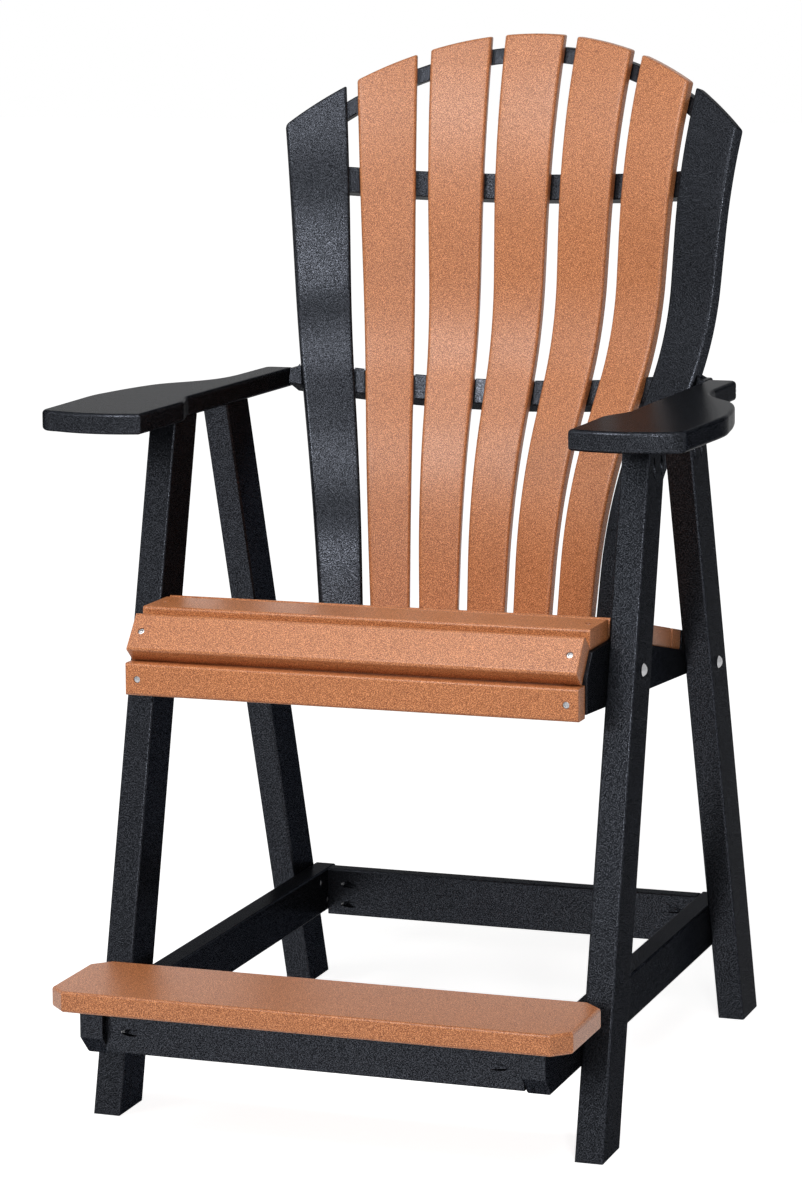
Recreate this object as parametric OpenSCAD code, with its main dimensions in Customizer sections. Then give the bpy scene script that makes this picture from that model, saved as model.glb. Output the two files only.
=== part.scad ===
// Adirondack bar chair with a footrest: poly-lumber boards on a slatted, contoured back.
// The origin is at floor level under the middle of the chair, +X is the sitter's left,
// the front faces -Y and +Z is up. Every size is in millimetres.

/* [Main sizes] */
// Width over the outer faces of the legs
width_over_legs = 711.2; // [700:0.1:725]
// Height of the top face of the arms
arm_top = 940; // [925:1:955]
// Height of the top face of the foremost seat slat
seat_front_height = 676.5; // [674:0.1:679]
// Slope of the seat down towards the back, in degrees
seat_slope = 12; // [11.5:0.1:12.5]
// Height of the crown of the back
back_crown = 1424; // [1415:1:1434]

/* [Boards] */
// Thickness of the arms, the footrest and the seat boards
board = 28; // [27:0.1:28.4]
// Thickness of the seat rails and the side stretchers
rail_board = 31.75; // [30:0.05:33]
// Thickness of the two cross stretchers
cross_board = 25.4; // [23:0.1:26]
// Eased edge of the seat boards
board_ease = 4.5; // [2:0.5:6]
// Eased edge of the legs and stretchers
frame_ease = 3; // [1.5:0.5:4]

/* [Legs] */
// Thickness of a leg across the chair
leg_thickness = 38.1; // [36:0.1:40]
// Width of a leg along the chair
leg_width = 76.2; // [72:0.1:80]
// Lean of the front legs from upright, in degrees
front_lean = 13.87; // [13.5:0.01:14.2]
// Lean of the rear legs from upright, in degrees
rear_lean = 18.42; // [18:0.01:18.8]
// Length of the footprint over the four feet
foot_length = 796; // [790:1:802]

/* [Stretchers and footrest] */
// Height of a side stretcher
stretcher_height = 63.5; // [60:0.5:66]
// Height of the top of the side stretchers, where the footrest lies
stretcher_top = 179.5; // [170:0.5:190]
// Distance of the front ends of the side stretchers ahead of the middle of the feet
stretcher_front = 520; // [515:1:525]
// Distance of the rear ends of the side stretchers behind the middle of the feet
stretcher_rear = 345; // [342:1:348]
// Cut at the lower front corner of a side stretcher
stretcher_cut = 25.4; // [15:0.1:30]
// Height of the rear cross stretcher
rear_cross_height = 70; // [64:1:76]
// Distance of the front face of the rear cross stretcher behind the middle of the feet
rear_cross_at = 312; // [309:1:315]
// Height of the cross board under the footrest
foot_cross_height = 58.5; // [52:0.5:62]
// Distance of the front face of that cross board ahead of the middle of the feet
foot_cross_at = 507; // [500:1:512]
// Room between the ends of the footrest and the outer faces of the legs
footrest_inset = 0.6; // [0:0.1:4]
// Depth of the footrest board
footrest_depth = 165; // [155:1:170]
// Reach of the footrest ahead of the middle of the feet
footrest_front = 545; // [540:1:550]
// Cut at the corners of the footrest board
footrest_cut = 23; // [15:1:30]

/* [Seat] */
// Room between the end of a seat slat and the leg beside it
slat_end_room = 5; // [3:0.5:8]
// Depth of the foremost, level seat slat
first_slat_depth = 84; // [82:0.5:86]
// Distance of the front edge of the level slat ahead of the middle of the feet
first_slat_at = 306; // [305:0.5:307]
// Depth of each sloping seat slat
slat_depth = 97.5; // [96:0.1:99]
// Gap between two seat slats
slat_gap = 6; // [5.5:0.1:7]
// Depth of the tilted nosing board
nosing_depth = 57; // [55:0.5:58]
// Tilt of the nosing board from upright, in degrees
nosing_tilt = 40; // [39:0.1:41]
// Height of the seat apron
apron_height = 43.8; // [42:0.1:46]
// Room between the end of the seat apron and the leg beside it
apron_end_room = 3; // [2:0.5:7]
// Height of the seat's front above the lower edge of its rails at the middle of the feet
rail_drop = 128; // [126:0.1:132]
// Slope of the lower edge of the seat rails, in degrees
rail_low_slope = 3.78; // [3.4:0.01:4.2]
// Length of the narrow ends of the rearmost seat board along the seat
rear_end_depth = 43; // [40:0.5:46]
// Depth of the board that the back slats stand against, at the middle
back_foot_depth = 57; // [50:1:64]

/* [Back] */
// Thickness of a back slat
back_board = 19; // [18.4:0.1:19.4]
// Eased edge of a back slat
back_ease = 5; // [3:0.5:6]
// Gap between two back slats at their lower ends
foot_gap = 13.7; // [12:0.1:15]
// Gap between two back slats at their upper ends
crown_gap = 17.4; // [15.5:0.1:18.5]
// Extra width of the two outermost back slats
outer_extra = 5.6; // [4:0.1:7]
// Room between the inner faces of the legs and the back's outer edges, at arm height
back_side_room = 21.45; // [19.5:0.05:24]
// How much larger the arch over the slats' tops is than half the width between the legs
arch_beyond = 197.5; // [188:0.5:207]
// Face height of the two straight-ended back rails
back_rail_height = 38; // [34:1:40]
// Depth of the back rails from front to rear
back_rail_depth = 38; // [34:1:40]
// Drop of the upper back rail below the crown, at the middle
upper_rail_drop = 204.6; // [200:0.1:210]
// Tilt of the upper back rail, in degrees
upper_rail_tilt = 12.5; // [12:0.1:13]
// Drop of the arm-level back rail below the arms' tops, at the middle
arm_rail_drop = 18.7; // [17:0.1:20]
// Tilt of the arm-level back rail, in degrees
arm_rail_tilt = 22; // [21.5:0.1:22.5]
// Drop of the arched rail below the tops of the slats
arch_rail_drop = 19; // [16:0.5:24]
// Height of the arched rail
arch_rail_height = 23; // [21:0.5:26]
// Depth of the arched rail from front to rear
arch_rail_depth = 26; // [24:0.5:28]

/* [Fasteners] */
// Shank of the bolts through legs and seat rails
bolt_shank = 8; // [7:0.1:9]
// Head of those bolts
bolt_head = 17.5; // [16:0.1:18]
// Head of the wood screws
screw_head = 9; // [8:0.1:9.5]
// Shank of the wood screws
screw_shank = 4.8; // [4.2:0.1:5]
// Clearance of every hole round its shank
hole_clearance = 0.2; // [0.1:0.05:0.3]

/* [Back profile] */
// Distance of the front face at the foot of the middle slat behind the middle of the feet
back_foot_at = 199.3; // [198.8:0.1:199.8]
// Lean of the foot of the slats, in degrees
foot_lean = 8.1; // [7.9:0.1:8.3]
// How much the straight foot of the slats is shorter than the rise from the seat to the arms
foot_short = 153.5; // [149.5:0.5:157.5]
// Radius of the lumbar curve
lumbar_radius = 560; // [550:1:570]
// Lean of the slats above the lumbar curve, in degrees
waist_lean = 30; // [29.6:0.1:30.4]
// Straight run across the arm-level rail
waist_run = 69.5; // [66:0.5:72]
// Radius of the hollow above the arms
hollow_radius = 370; // [364:1:376]
// Lean of the slats above the hollow, in degrees
upper_lean = 5.8; // [5.5:0.1:6.1]
// Straight run above the hollow
upper_run = 69.3; // [66:0.1:72]
// Radius of the shoulder curve
shoulder_radius = 840; // [820:1:860]
// Lean of the tops of the slats, in degrees
top_lean = 22.8; // [22.4:0.1:23.2]
// Distance of the barrel axis ahead of the middle of the feet, at its own height
barrel_ahead = 266.5; // [265.5:0.1:267.5]
// Lean of the barrel axis, in degrees
barrel_lean = 2.19; // [2.1:0.01:2.3]

/* [Hidden] */
$fn = 48;
// frame
leg_outer = width_over_legs / 2;
leg_inner = leg_outer - leg_thickness;
rail_inner = leg_inner - rail_board;
leg_top = arm_top - board;
skin = 1;
foot_half = foot_length / 2;
stretcher_low = stretcher_top - stretcher_height;
cross_half = rail_inner;
// seat planes: the level boards, then the slope that starts behind them
level_under = seat_front_height - board;
nosing_clear = 1.3;
nosing_lap = 5.3;
nosing_y = -first_slat_at - nosing_clear;
nosing_z = level_under + nosing_lap;
nosing_low = nosing_z - nosing_depth * cos(nosing_tilt);
apron_clear = 0.8;
apron_front = 364;
apron_back = apron_front - board;
apron_top = nosing_low - apron_clear;
slope_start_gap = 7;
slope_step = 0.6;
slat_length = 2 * (leg_inner - slat_end_room);
apron_length = 2 * (leg_inner - apron_end_room);
footrest_width = width_over_legs - 2 * footrest_inset;
slope_y = -first_slat_at + first_slat_depth + slope_start_gap;
slope_z = seat_front_height + slope_step;
slope_pitch = slat_depth + slat_gap;
rear_slat_at = 3 * slope_pitch;
rail_bend = slope_y + (slope_z - board / cos(seat_slope) - level_under) / tan(seat_slope);
function slope_top(y) = slope_z - (y - slope_y) * tan(seat_slope);
function slope_under(y) = slope_top(y) - board / cos(seat_slope);
rail_low = seat_front_height - rail_drop;
function rail_under(y) = rail_low - y * tan(rail_low_slope);
function along_slope(y) = (y - slope_y) / cos(seat_slope);
// bolts through the legs and the seat rails
front_bolt_drop = 67.5;
rear_bolt_drop = 123.5;
front_bolt_z = seat_front_height - front_bolt_drop;
rear_bolt_z = seat_front_height - rear_bolt_drop;
function front_leg_y(z) = -foot_half + z * tan(front_lean) + leg_width / 2 / cos(front_lean);
function rear_leg_y(z) = foot_half - z * tan(rear_lean) - leg_width / 2 / cos(rear_lean);
bolts = [[front_leg_y(front_bolt_z), front_bolt_z], [rear_leg_y(rear_bolt_z), rear_bolt_z]];
rail_past_bolt = 41.3;
rail_end = bolts[1][0] + rail_past_bolt;
bolt_dome = 5;
dome_radius = (bolt_dome * bolt_dome + bolt_head * bolt_head / 4) / 2 / bolt_dome;
washer_rim = 3.5;
washer_outer = bolt_shank + 2 * washer_rim;
washer_thick = 1.6;
nut_rim = 2.5;
nut_across = bolt_shank + 2 * nut_rim;
nut_thick = 6.5;
nut_play = 0.05;
bolt_proud = 2;
bolt_long = leg_thickness + rail_board + washer_thick + nut_thick + bolt_proud;
// wood screws
head_high = 3;
head_sink = 1;
recess = head_high + head_sink;
recess_over = 30;
screw_inset = 20;
screw_line = leg_inner - screw_inset;
slat_screw = 55;
slope_screw = 40;
foot_screw = 60;
foot_screw_up = 24;
foot_screw_pitch = 70;
leg_screw = 54;
leg_screw_edge = 16;
leg_screw_z = [stretcher_low + leg_screw_edge, stretcher_top - leg_screw_edge];
leg_screw_side = 14;
rear_screw_shift = 6;
tail_bite = 10;
tip_room = 1;
foot_board_screw = 28;
// pocket screws
pocket_angle = 20;
pocket_bore = 9.5;
pocket_shoulder = 21;
pocket_head = 8;
pocket_shank = 4;
pocket_bite = 18;
pocket_long = 60;
pocket_inset = 16;
pocket_drop = 22;
leg_pocket_x = leg_outer - pocket_inset;
leg_pocket_pair = 17;
rear_pocket_drop = [23, 53];
foot_pocket_drop = 30;
// back
barrel_drop = 26.5;
barrel_height = seat_front_height - barrel_drop;
barrel_point = [0, -barrel_ahead, barrel_height];
foot_bed = 12.7;
foot_drop = 1.5;
foot_run = arm_top - seat_front_height - foot_short;
back_foot_z = slope_under(back_foot_at + foot_bed) - foot_drop;
arm_level_radius = 596;
crown_level_radius = 731;
fan_angle = asin((leg_inner - back_side_room) / arm_level_radius) / 3.5;
slat_width_low = (barrel_ahead + back_foot_at) * fan_angle * PI / 180 - foot_gap;
slat_width_top = crown_level_radius * fan_angle * PI / 180 - crown_gap;
arch_radius = leg_inner + arch_beyond;
arch_z = back_crown - arch_radius;
seat_ease = 0.15;
top_room = 40;
slat_side_play = 1;
rail_room = 60;
top_run = 300;
upper_rise = 484;
stretch = (back_crown - arm_top) / upper_rise;
run_far = 1250;
run_mid = 500;
arm_rail_top = arm_top - arm_rail_drop;
upper_rail_top = back_crown - upper_rail_drop * stretch;
arm_rail_play = 0.2;
upper_end_radius = 714.7;
upper_rail_half = upper_end_radius * sin(3 * fan_angle);
arch_end_radius = 747.1;
arch_rail_half = arch_end_radius * sin(3 * fan_angle);
arch_play = 0.3;
arch_screw_up = 5;
arch_below = 110;
arch_above = 85;
back_side = 242;
trim_run = 7.8;
trim_ramp = 14;
trim_rise = 20;
tail_screw_in = 11.3;
arm_rail_radius = 640;
upper_rail_radius = 690;
arm_rail_notch = 3.2;
upper_rail_notch = 1.4;
rail_screw = 42;
rail_bite = 12;
arch_screw = 30;
spread = 0.2;
pair_rise = 7;
toe_screw = 46;
toe_screw_s = 17;
// arm outline, from the middle of the chair outwards
arm_inset_front = 22.5;
arm_inset_rear = 3.5;
arm_inner_front = leg_inner - arm_inset_front;
arm_inner_rear = leg_inner - arm_inset_rear;
arm_rail_half = arm_inner_rear - arm_rail_play;
arm_tail_over = 2.4;
arm_overhang = 96.4;
nose_inset = 6;
arm_tail = leg_outer + arm_tail_over;
arm_widest = leg_outer + arm_overhang;
arm_nose = arm_widest - nose_inset;
arm_past_screw = 9;
tail_screw = arm_tail - recess - arm_rail_half + tail_bite;
arm_ease = 5.5;
tail_round = 12;
nose_round = 25;
LEFT = 0;
RIGHT = 1;

// The back slats follow straight runs and arcs: length and closing lean of each.
function arc_length(r, a, b) = r * abs(b - a) * PI / 180;
profile = [
    [foot_run, foot_lean, 2],
    [arc_length(lumbar_radius, foot_lean, waist_lean), waist_lean, 6],
    [waist_run, waist_lean, 1],
    [arc_length(hollow_radius * stretch, waist_lean, upper_lean), upper_lean, 5],
    [upper_run * stretch, upper_lean, 1],
    [arc_length(shoulder_radius * stretch, upper_lean, top_lean), top_lean, 5],
    [top_run, top_lean, 1]
];

// Point [y, z, lean] at a distance s along the front face of the middle slat.
function step(p, b, l, s) = abs(b - p[2]) < 0.001
    ? [p[0] + s * sin(b), p[1] + s * cos(b), b]
    : let (a = p[2] + (b - p[2]) * s / l, r = l / (b - p[2]) * 180 / PI)
      [p[0] + r * (cos(p[2]) - cos(a)), p[1] + r * (sin(a) - sin(p[2])), a];
function walk(s, i = 0, p = [back_foot_at, back_foot_z, foot_lean]) =
    s <= profile[i][0] || i == len(profile) - 1
        ? step(p, profile[i][1], profile[i][0], s)
        : let (e = step(p, profile[i][1], profile[i][0], profile[i][0]))
          walk(s - profile[i][0], i + 1, [e[0], e[1], profile[i][1]]);
function run_before(i) = i == 0 ? 0 : profile[i - 1][0] + run_before(i - 1);
stations = concat([0], [for (i = [0 : len(profile) - 1], j = [1 : profile[i][2]])
    run_before(i) + profile[i][0] * j / profile[i][2]]);
function behind(s, d) = let (p = walk(s)) [p[0] + d * cos(p[2]), p[1] - d * sin(p[2])];
function half_width(z, k) = (slat_width_low + (slat_width_top - slat_width_low)
    * (z - back_foot_z) / (back_crown - back_foot_z) + (abs(k) == 3 ? outer_extra : 0)) / 2;

// The same point of slat k, turned about the barrel axis.
function spin(p, k) = let (q = p - barrel_point, c = cos(barrel_lean), d = sin(barrel_lean),
    v = q[1] * c + q[2] * d, w = q[2] * c - q[1] * d, t = -k * fan_angle,
    x = q[0] * cos(t) - v * sin(t), y = q[0] * sin(t) + v * cos(t))
    barrel_point + [x, y * c - w * d, y * d + w * c];
// Height of slat k's rear face above the top of a rail's board at s.
function over_rail(k, s, top, tilt) = let (b = behind(s, back_board), p = spin([0, b[0], b[1]], k),
    o = behind(s_at_height(top), back_board)) (p[1] - o[0]) * sin(tilt) + (p[2] - o[1]) * cos(tilt);
function s_at_height(z, d = back_board, lo = 0, hi = run_far, n = 24) = n == 0 ? (lo + hi) / 2
    : behind((lo + hi) / 2, d)[1] > z ? s_at_height(z, d, lo, (lo + hi) / 2, n - 1)
    : s_at_height(z, d, (lo + hi) / 2, hi, n - 1);
function s_on_rail(k, top, tilt, h, lo = 0, hi = run_far, n = 24) = n == 0 ? (lo + hi) / 2
    : over_rail(k, (lo + hi) / 2, top, tilt) > h
        ? s_on_rail(k, top, tilt, h, lo, (lo + hi) / 2, n - 1)
        : s_on_rail(k, top, tilt, h, (lo + hi) / 2, hi, n - 1);
// Where the middle line of the arched rail crosses slat k.
arch_mid = arch_radius - arch_rail_drop - arch_rail_height / 2;
function over_arch(k, s) = let (b = behind(s, back_board), p = spin([0, b[0], b[1]], k))
    norm([p[0], p[2] - arch_z]) - arch_mid;
function s_on_arch(k, lo = run_mid, hi = run_far, n = 24) = n == 0 ? (lo + hi) / 2
    : over_arch(k, (lo + hi) / 2) > 0 ? s_on_arch(k, lo, (lo + hi) / 2, n - 1)
    : s_on_arch(k, (lo + hi) / 2, hi, n - 1);

// The chair is drawn from the middle of its feet, then moved so that its box is centred.
arch_far = back_board + arch_rail_depth;
back_reach = behind(s_at_height(arch_z + arch_radius - arch_rail_drop, arch_far), arch_far)[0];
centre_y = (footrest_front - back_reach) / 2;

CEDAR = [0.72, 0.47, 0.31];
BLACK = [0.12, 0.12, 0.13];
STEEL = [0.75, 0.76, 0.78];

// Helpers for shapes and places

// Rectangle from the origin with eased corners, exact for any length that is drawn from it.
module eased(w, h, r) {
    translate([r, 0]) square([w - 2 * r, h]);
    translate([0, r]) square([w, h - 2 * r]);
    for (x = [r, w - r], y = [r, h - r]) translate([x, y]) circle(r);
}

// Draws a [y, z] outline and gives it a width across the chair.
module across(width) {
    rotate([90, 0, 90]) translate([0, 0, -width / 2]) linear_extrude(width) children();
}

module both_sides() {
    children();
    mirror([1, 0, 0]) children();
}

// The left is the sitter's left, at +X; the right piece is its mirror image.
module on_side(side) {
    mirror([side, 0, 0]) children();
}

// Corners of a closed outline, drawn in or out by d with mitred corners.
function inward(pts, i, d) = let (n = len(pts), a = pts[(i + n - 1) % n], b = pts[i],
    c = pts[(i + 1) % n], u = (b - a) / norm(b - a), v = (c - b) / norm(c - b),
    m = [-u[1], u[0]], k = [-v[1], v[0]]) b + (m + k) * d / (1 + m * k);

// Flat board of any outline, counter-clockwise, with both its rims eased by r.
module eased_plate(pts, thick, r) {
    n = len(pts);
    rings = [for (a = [90, 45, 0]) [r * (1 - cos(a)), r * (1 - sin(a))]];
    levels = concat(rings, [for (j = [2, 1, 0]) [rings[j][0], thick - rings[j][1]]]);
    verts = [for (l = levels, i = [0 : n - 1]) concat(inward(pts, i, l[0]), l[1])];
    m = len(levels);
    sides = [for (j = [0 : m - 2], i = [0 : n - 1])
        [j * n + i, (j + 1) * n + i, (j + 1) * n + (i + 1) % n, j * n + (i + 1) % n]];
    caps = [[for (i = [0 : n - 1]) i], [for (i = [0 : n - 1]) m * n - 1 - i]];
    polyhedron(verts, concat(sides, caps), convexity = 6);
}

// Moves what is drawn on the floor plan by z, tilted with the seat from the slope's start.
module on_seat() {
    translate([0, slope_y, slope_z]) rotate([-seat_slope, 0, 0]) children();
}

// Turns a piece of the middle slat to the place of slat k.
module fan(k) {
    translate(barrel_point) rotate([barrel_lean, 0, 0]) rotate([0, 0, -k * fan_angle])
        rotate([-barrel_lean, 0, 0]) translate(-barrel_point) children();
}

// Puts a piece on the rear face of slat k at s, its z axis pointing to the rear.
module on_slat(k, s) {
    b = behind(s, back_board);
    fan(k) translate([0, b[0], b[1]]) rotate([-90 - walk(s)[2], 0, 0]) children();
}

// Wood screw along z: the underside of its head is at 0 and its shank points to -z.
module screw(long, head = screw_head, shank = screw_shank) {
    cylinder(h = head_high, d = head);
    translate([0, 0, -long]) cylinder(h = long, d = shank);
}

// Room for that screw, with the recess over its head.
module screw_room(long, over = recess_over, head = screw_head, shank = screw_shank) {
    cylinder(h = over, d = head + 2 * hole_clearance);
    translate([0, 0, -long - tip_room]) cylinder(h = long + tip_room + skin,
        d = shank + 2 * hole_clearance);
}

// Pocket screw through a joint at 0, its bite at +z.
module pocket_screw() {
    translate([0, 0, -pocket_shoulder]) mirror([0, 0, 1])
        screw(pocket_shoulder + pocket_bite, pocket_head, pocket_shank);
}

module pocket_room() {
    translate([0, 0, -pocket_shoulder]) mirror([0, 0, 1]) {
        cylinder(h = pocket_long, d = pocket_bore);
        screw_room(pocket_shoulder + pocket_bite, skin, pocket_head, pocket_shank);
    }
}

// Places of the pocket screws at the tops of the left legs, pointing up into the arm.
module at_leg_pockets() {
    for (y = [front_leg_y(leg_top - pocket_drop), rear_leg_y(leg_top - pocket_drop)],
        d = [-1, 1])
        translate([leg_pocket_x, y + d * leg_pocket_pair, leg_top])
            rotate([0, -pocket_angle, 0]) children();
}

// Places of the pocket screws at the left ends of the two cross stretchers.
module at_cross_pockets() {
    for (d = rear_pocket_drop)
        translate([cross_half, rear_cross_at + cross_board / 2, stretcher_top - d])
            rotate([0, 90, pocket_angle]) children();
    translate([cross_half, -foot_cross_at + cross_board / 2, stretcher_top - foot_pocket_drop])
        rotate([0, 90, pocket_angle]) children();
}

module at_bolts() {
    for (b = bolts) translate([leg_outer, b[0], b[1]]) rotate([0, 90, 0]) children();
}

module bolt_room() {
    translate([0, 0, -leg_thickness - rail_board - skin])
        cylinder(h = leg_thickness + rail_board + 2 * skin, d = bolt_shank + 2 * hole_clearance);
}

// Screws from inside the side stretchers into the feet of the legs.
module at_leg_screws() {
    for (i = [0, 1], d = [-1, 1]) translate([rail_inner + recess,
        (i == 0 ? front_leg_y(leg_screw_z[i]) : rear_leg_y(leg_screw_z[i]) - rear_screw_shift)
            + d * leg_screw_side, leg_screw_z[d > 0 ? 0 : 1]]) rotate([0, -90, 0]) children();
}

// Screws from below, in deep bores through the side stretchers, into the footrest.
module at_footrest_screws() {
    for (i = [1, 2]) translate([screw_line, i * foot_screw_pitch - footrest_front,
        stretcher_low + foot_screw_up]) rotate([180, 0, 0]) children();
}

module at_tail_screw() {
    translate([arm_tail - recess, tail_screw_y, arm_top - board / 2])
        rotate([0, 90, 0]) children();
}

module at_apron_screw() {
    translate([screw_line, -apron_front + recess, apron_top - apron_height / 2])
        rotate([90, 0, 0]) children();
}

module at_nosing_screw() {
    translate([screw_line, nosing_y, nosing_z]) rotate([90 - nosing_tilt, 0, 0])
        translate([0, -nosing_depth / 2, board - recess]) children();
}

// Seat screws: one at each end of the level board and two at each end of the others.
module at_level_screw() {
    translate([screw_line, -first_slat_at + first_slat_depth / 2,
        seat_front_height - recess]) children();
}

module at_slope_screws(i) {
    on_seat() for (d = [0.25, 0.75])
        translate([screw_line, i * slope_pitch + slat_depth * d, -recess]) children();
}

module at_rear_screws() {
    on_seat() for (d = [rear_slat_at + rear_end_depth / 2, back_foot_front + foot_board_screw])
        translate([screw_line, d, -recess]) children();
}

// Screws through the feet of the slats into the board behind them.
module at_toe_screws(k) {
    for (d = [-1, 1]) on_slat(k, toe_screw_s) translate([d * spread * slat_width_low, 0,
        recess - back_board]) mirror([0, 0, 1]) children();
}

// Screws through the rails behind into slat k: s on the slat and the reach from its rear face.
module at_rail_screws(k, s, reach) {
    for (d = [-1, 1]) on_slat(k, s) translate([0, d * pair_rise, reach]) children();
}

s_arm = [for (k = [-3 : 3]) s_on_rail(k, arm_rail_top, arm_rail_tilt, -back_rail_height / 2)];
s_upper = [for (k = [-3 : 3])
    s_on_rail(k, upper_rail_top, upper_rail_tilt, -back_rail_height / 2)];
s_arch = [for (k = [-3 : 3]) s_on_arch(k)];
rail_reach = rail_screw - rail_bite;
arch_reach = arch_screw - rail_bite;
// The tail screw of an arm meets the end of the arm-level rail ahead of its middle line.
function rail_end_y(top, tilt, radius, notch, half) = behind(s_at_height(top), back_board)[0]
    + (rail_edge(top, tilt, notch) - radius
        + sqrt(pow(radius + back_rail_depth / 2, 2) - half * half)) * cos(tilt)
    - back_rail_height / 2 * sin(tilt);
tail_screw_y = rail_end_y(arm_rail_top, arm_rail_tilt, arm_rail_radius, arm_rail_notch,
    arm_rail_half) - tail_screw_in;
arm_tail_y = tail_screw_y + arm_past_screw;

// Legs

// Leg of rounded section, leaning, cut level at the floor and under the arm.
module leg_blank(lean, from_edge) {
    intersection() {
        rotate([-lean, 0, 0]) translate([leg_inner, from_edge, -leg_width])
            linear_extrude(leg_top / cos(lean) + 2 * leg_width)
                eased(leg_thickness, leg_width, frame_ease);
        translate([leg_inner - skin, -back_crown / 2, 0])
            cube([leg_thickness + 2 * skin, back_crown, leg_top]);
    }
}

module leg_front(side) {
    on_side(side) color(BLACK) difference() {
        translate([0, -foot_half, 0]) leg_blank(front_lean, 0);
        at_leg_pockets() pocket_room();
        at_bolts() bolt_room();
        at_leg_screws() screw_room(leg_screw);
    }
}

module leg_rear(side) {
    on_side(side) color(BLACK) difference() {
        translate([0, foot_half, 0]) leg_blank(-rear_lean, -leg_width);
        at_leg_pockets() pocket_room();
        at_bolts() bolt_room();
        at_leg_screws() screw_room(leg_screw);
    }
}
module leg_front_left() { leg_front(LEFT); }
module leg_front_right() { leg_front(RIGHT); }
module leg_rear_left() { leg_rear(LEFT); }
module leg_rear_right() { leg_rear(RIGHT); }

// Arms

// Smooth curve through a list of points.
function curve(p, n) = concat([for (i = [0 : len(p) - 2], j = [0 : n - 1])
    let (a = p[max(i - 1, 0)], b = p[i], c = p[i + 1], d = p[min(i + 2, len(p) - 1)], t = j / n)
    ((2 * b) + (c - a) * t + (2 * a - 5 * b + 4 * c - d) * t * t
        + (3 * b - a - 3 * c + d) * t * t * t) / 2], [p[len(p) - 1]]);
function turn(c, r, a, b, n) = [for (i = [0 : n]) c + r * [cos(a + (b - a) * i / n),
    sin(a + (b - a) * i / n)]];
arm_front = -345;
arm_bow = 13;
arm_wide = [for (p = [[nose_inset, -318], [3, -240], [0, -157], [5, -112], [13, -64], [25, -15],
    [38, 14], [69, 56], [88, 98], [arm_widest - arm_tail, 144]]) [arm_widest - p[0], p[1]]];
arm_front_run = arm_nose - nose_round - arm_inner_front;
ogee = [-205, -128];
arm_outline = concat(
    [for (i = [0 : 5]) let (t = i / 6) [arm_inner_front + arm_front_run * t,
        arm_front - arm_bow * (1 - pow(2 * t - 1, 2))]],
    turn([arm_nose - nose_round, arm_front + nose_round], nose_round, -90, -8, 4),
    curve(arm_wide, 3),
    turn([arm_tail - tail_round, arm_tail_y - tail_round], tail_round, 0, 90, 3),
    [[arm_inner_rear, arm_tail_y]],
    [for (i = [0 : 7]) let (t = i / 7) [arm_inner_rear
        - (arm_inner_rear - arm_inner_front) * (1 - cos(180 * t)) / 2,
        ogee[1] + (ogee[0] - ogee[1]) * t]]);

module arm(side) {
    on_side(side) color(BLACK) difference() {
        translate([0, 0, leg_top]) eased_plate(arm_outline, board, arm_ease);
        at_leg_pockets() pocket_room();
        at_tail_screw() screw_room(tail_screw);
    }
}
module arm_left() { arm(LEFT); }
module arm_right() { arm(RIGHT); }

// Stretchers and footrest

module stretcher(side) {
    on_side(side) color(BLACK) difference() {
        translate([rail_inner, stretcher_rear, stretcher_low]) rotate([90, 0, 0])
            linear_extrude(stretcher_front + stretcher_rear)
                eased(rail_board, stretcher_height, frame_ease);
        translate([rail_inner - skin, -stretcher_front - skin, stretcher_low - skin])
            rotate([90, 0, 90]) linear_extrude(rail_board + 2 * skin)
                polygon([[0, 0], [stretcher_cut + 2 * skin, 0], [0, stretcher_cut + 2 * skin]]);
        at_leg_screws() screw_room(leg_screw);
        at_cross_pockets() pocket_room();
        at_footrest_screws() screw_room(foot_screw);
    }
}
module stretcher_left() { stretcher(LEFT); }
module stretcher_right() { stretcher(RIGHT); }

module rear_cross() {
    color(BLACK) difference() {
        translate([0, rear_cross_at, stretcher_top - rear_cross_height])
            across(2 * cross_half) eased(cross_board, rear_cross_height, frame_ease);
        both_sides() at_cross_pockets() pocket_room();
    }
}

module foot_cross() {
    color(BLACK) difference() {
        translate([0, -foot_cross_at, stretcher_top - foot_cross_height])
            across(2 * cross_half) eased(cross_board, foot_cross_height, frame_ease);
        both_sides() at_cross_pockets() pocket_room();
    }
}

footrest_outline = let (x = footrest_width / 2, c = footrest_cut, f = -footrest_front,
    b = footrest_depth - footrest_front)
    [[-x, f + c], [-x + c, f], [x - c, f], [x, f + c], [x, b - c], [x - c, b], [c - x, b],
        [-x, b - c]];

module footrest() {
    color(CEDAR) difference() {
        translate([0, 0, stretcher_top]) eased_plate(footrest_outline, board, board_ease);
        both_sides() at_footrest_screws() screw_room(foot_screw);
    }
}

// Seat

// Side view of a seat rail: cut under the nosing, level under the first board, then sloping.
rail_outline = [
    [-apron_back, rail_under(-apron_back)],
    [rail_end, rail_under(rail_end)],
    [rail_end, slope_under(rail_end)],
    [rail_bend, level_under],
    [nosing_y - nosing_lap * tan(nosing_tilt), level_under],
    [-apron_back, nosing_z - (nosing_y + apron_back) / tan(nosing_tilt)]
];

module seat_rail(side) {
    on_side(side) color(BLACK) difference() {
        translate([(leg_inner + rail_inner) / 2, 0, 0]) across(rail_board)
            polygon(rail_outline);
        at_bolts() bolt_room();
        at_apron_screw() screw_room(slat_screw);
        at_nosing_screw() screw_room(slat_screw);
        at_level_screw() screw_room(slat_screw);
        for (i = [0 : 2]) at_slope_screws(i) screw_room(slope_screw);
        at_rear_screws() screw_room(slope_screw);
    }
}
module seat_rail_left() { seat_rail(LEFT); }
module seat_rail_right() { seat_rail(RIGHT); }

module apron() {
    color(CEDAR) difference() {
        translate([0, -apron_front, apron_top - apron_height])
            across(apron_length) eased(board, apron_height, board_ease);
        both_sides() at_apron_screw() screw_room(slat_screw);
    }
}

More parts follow.
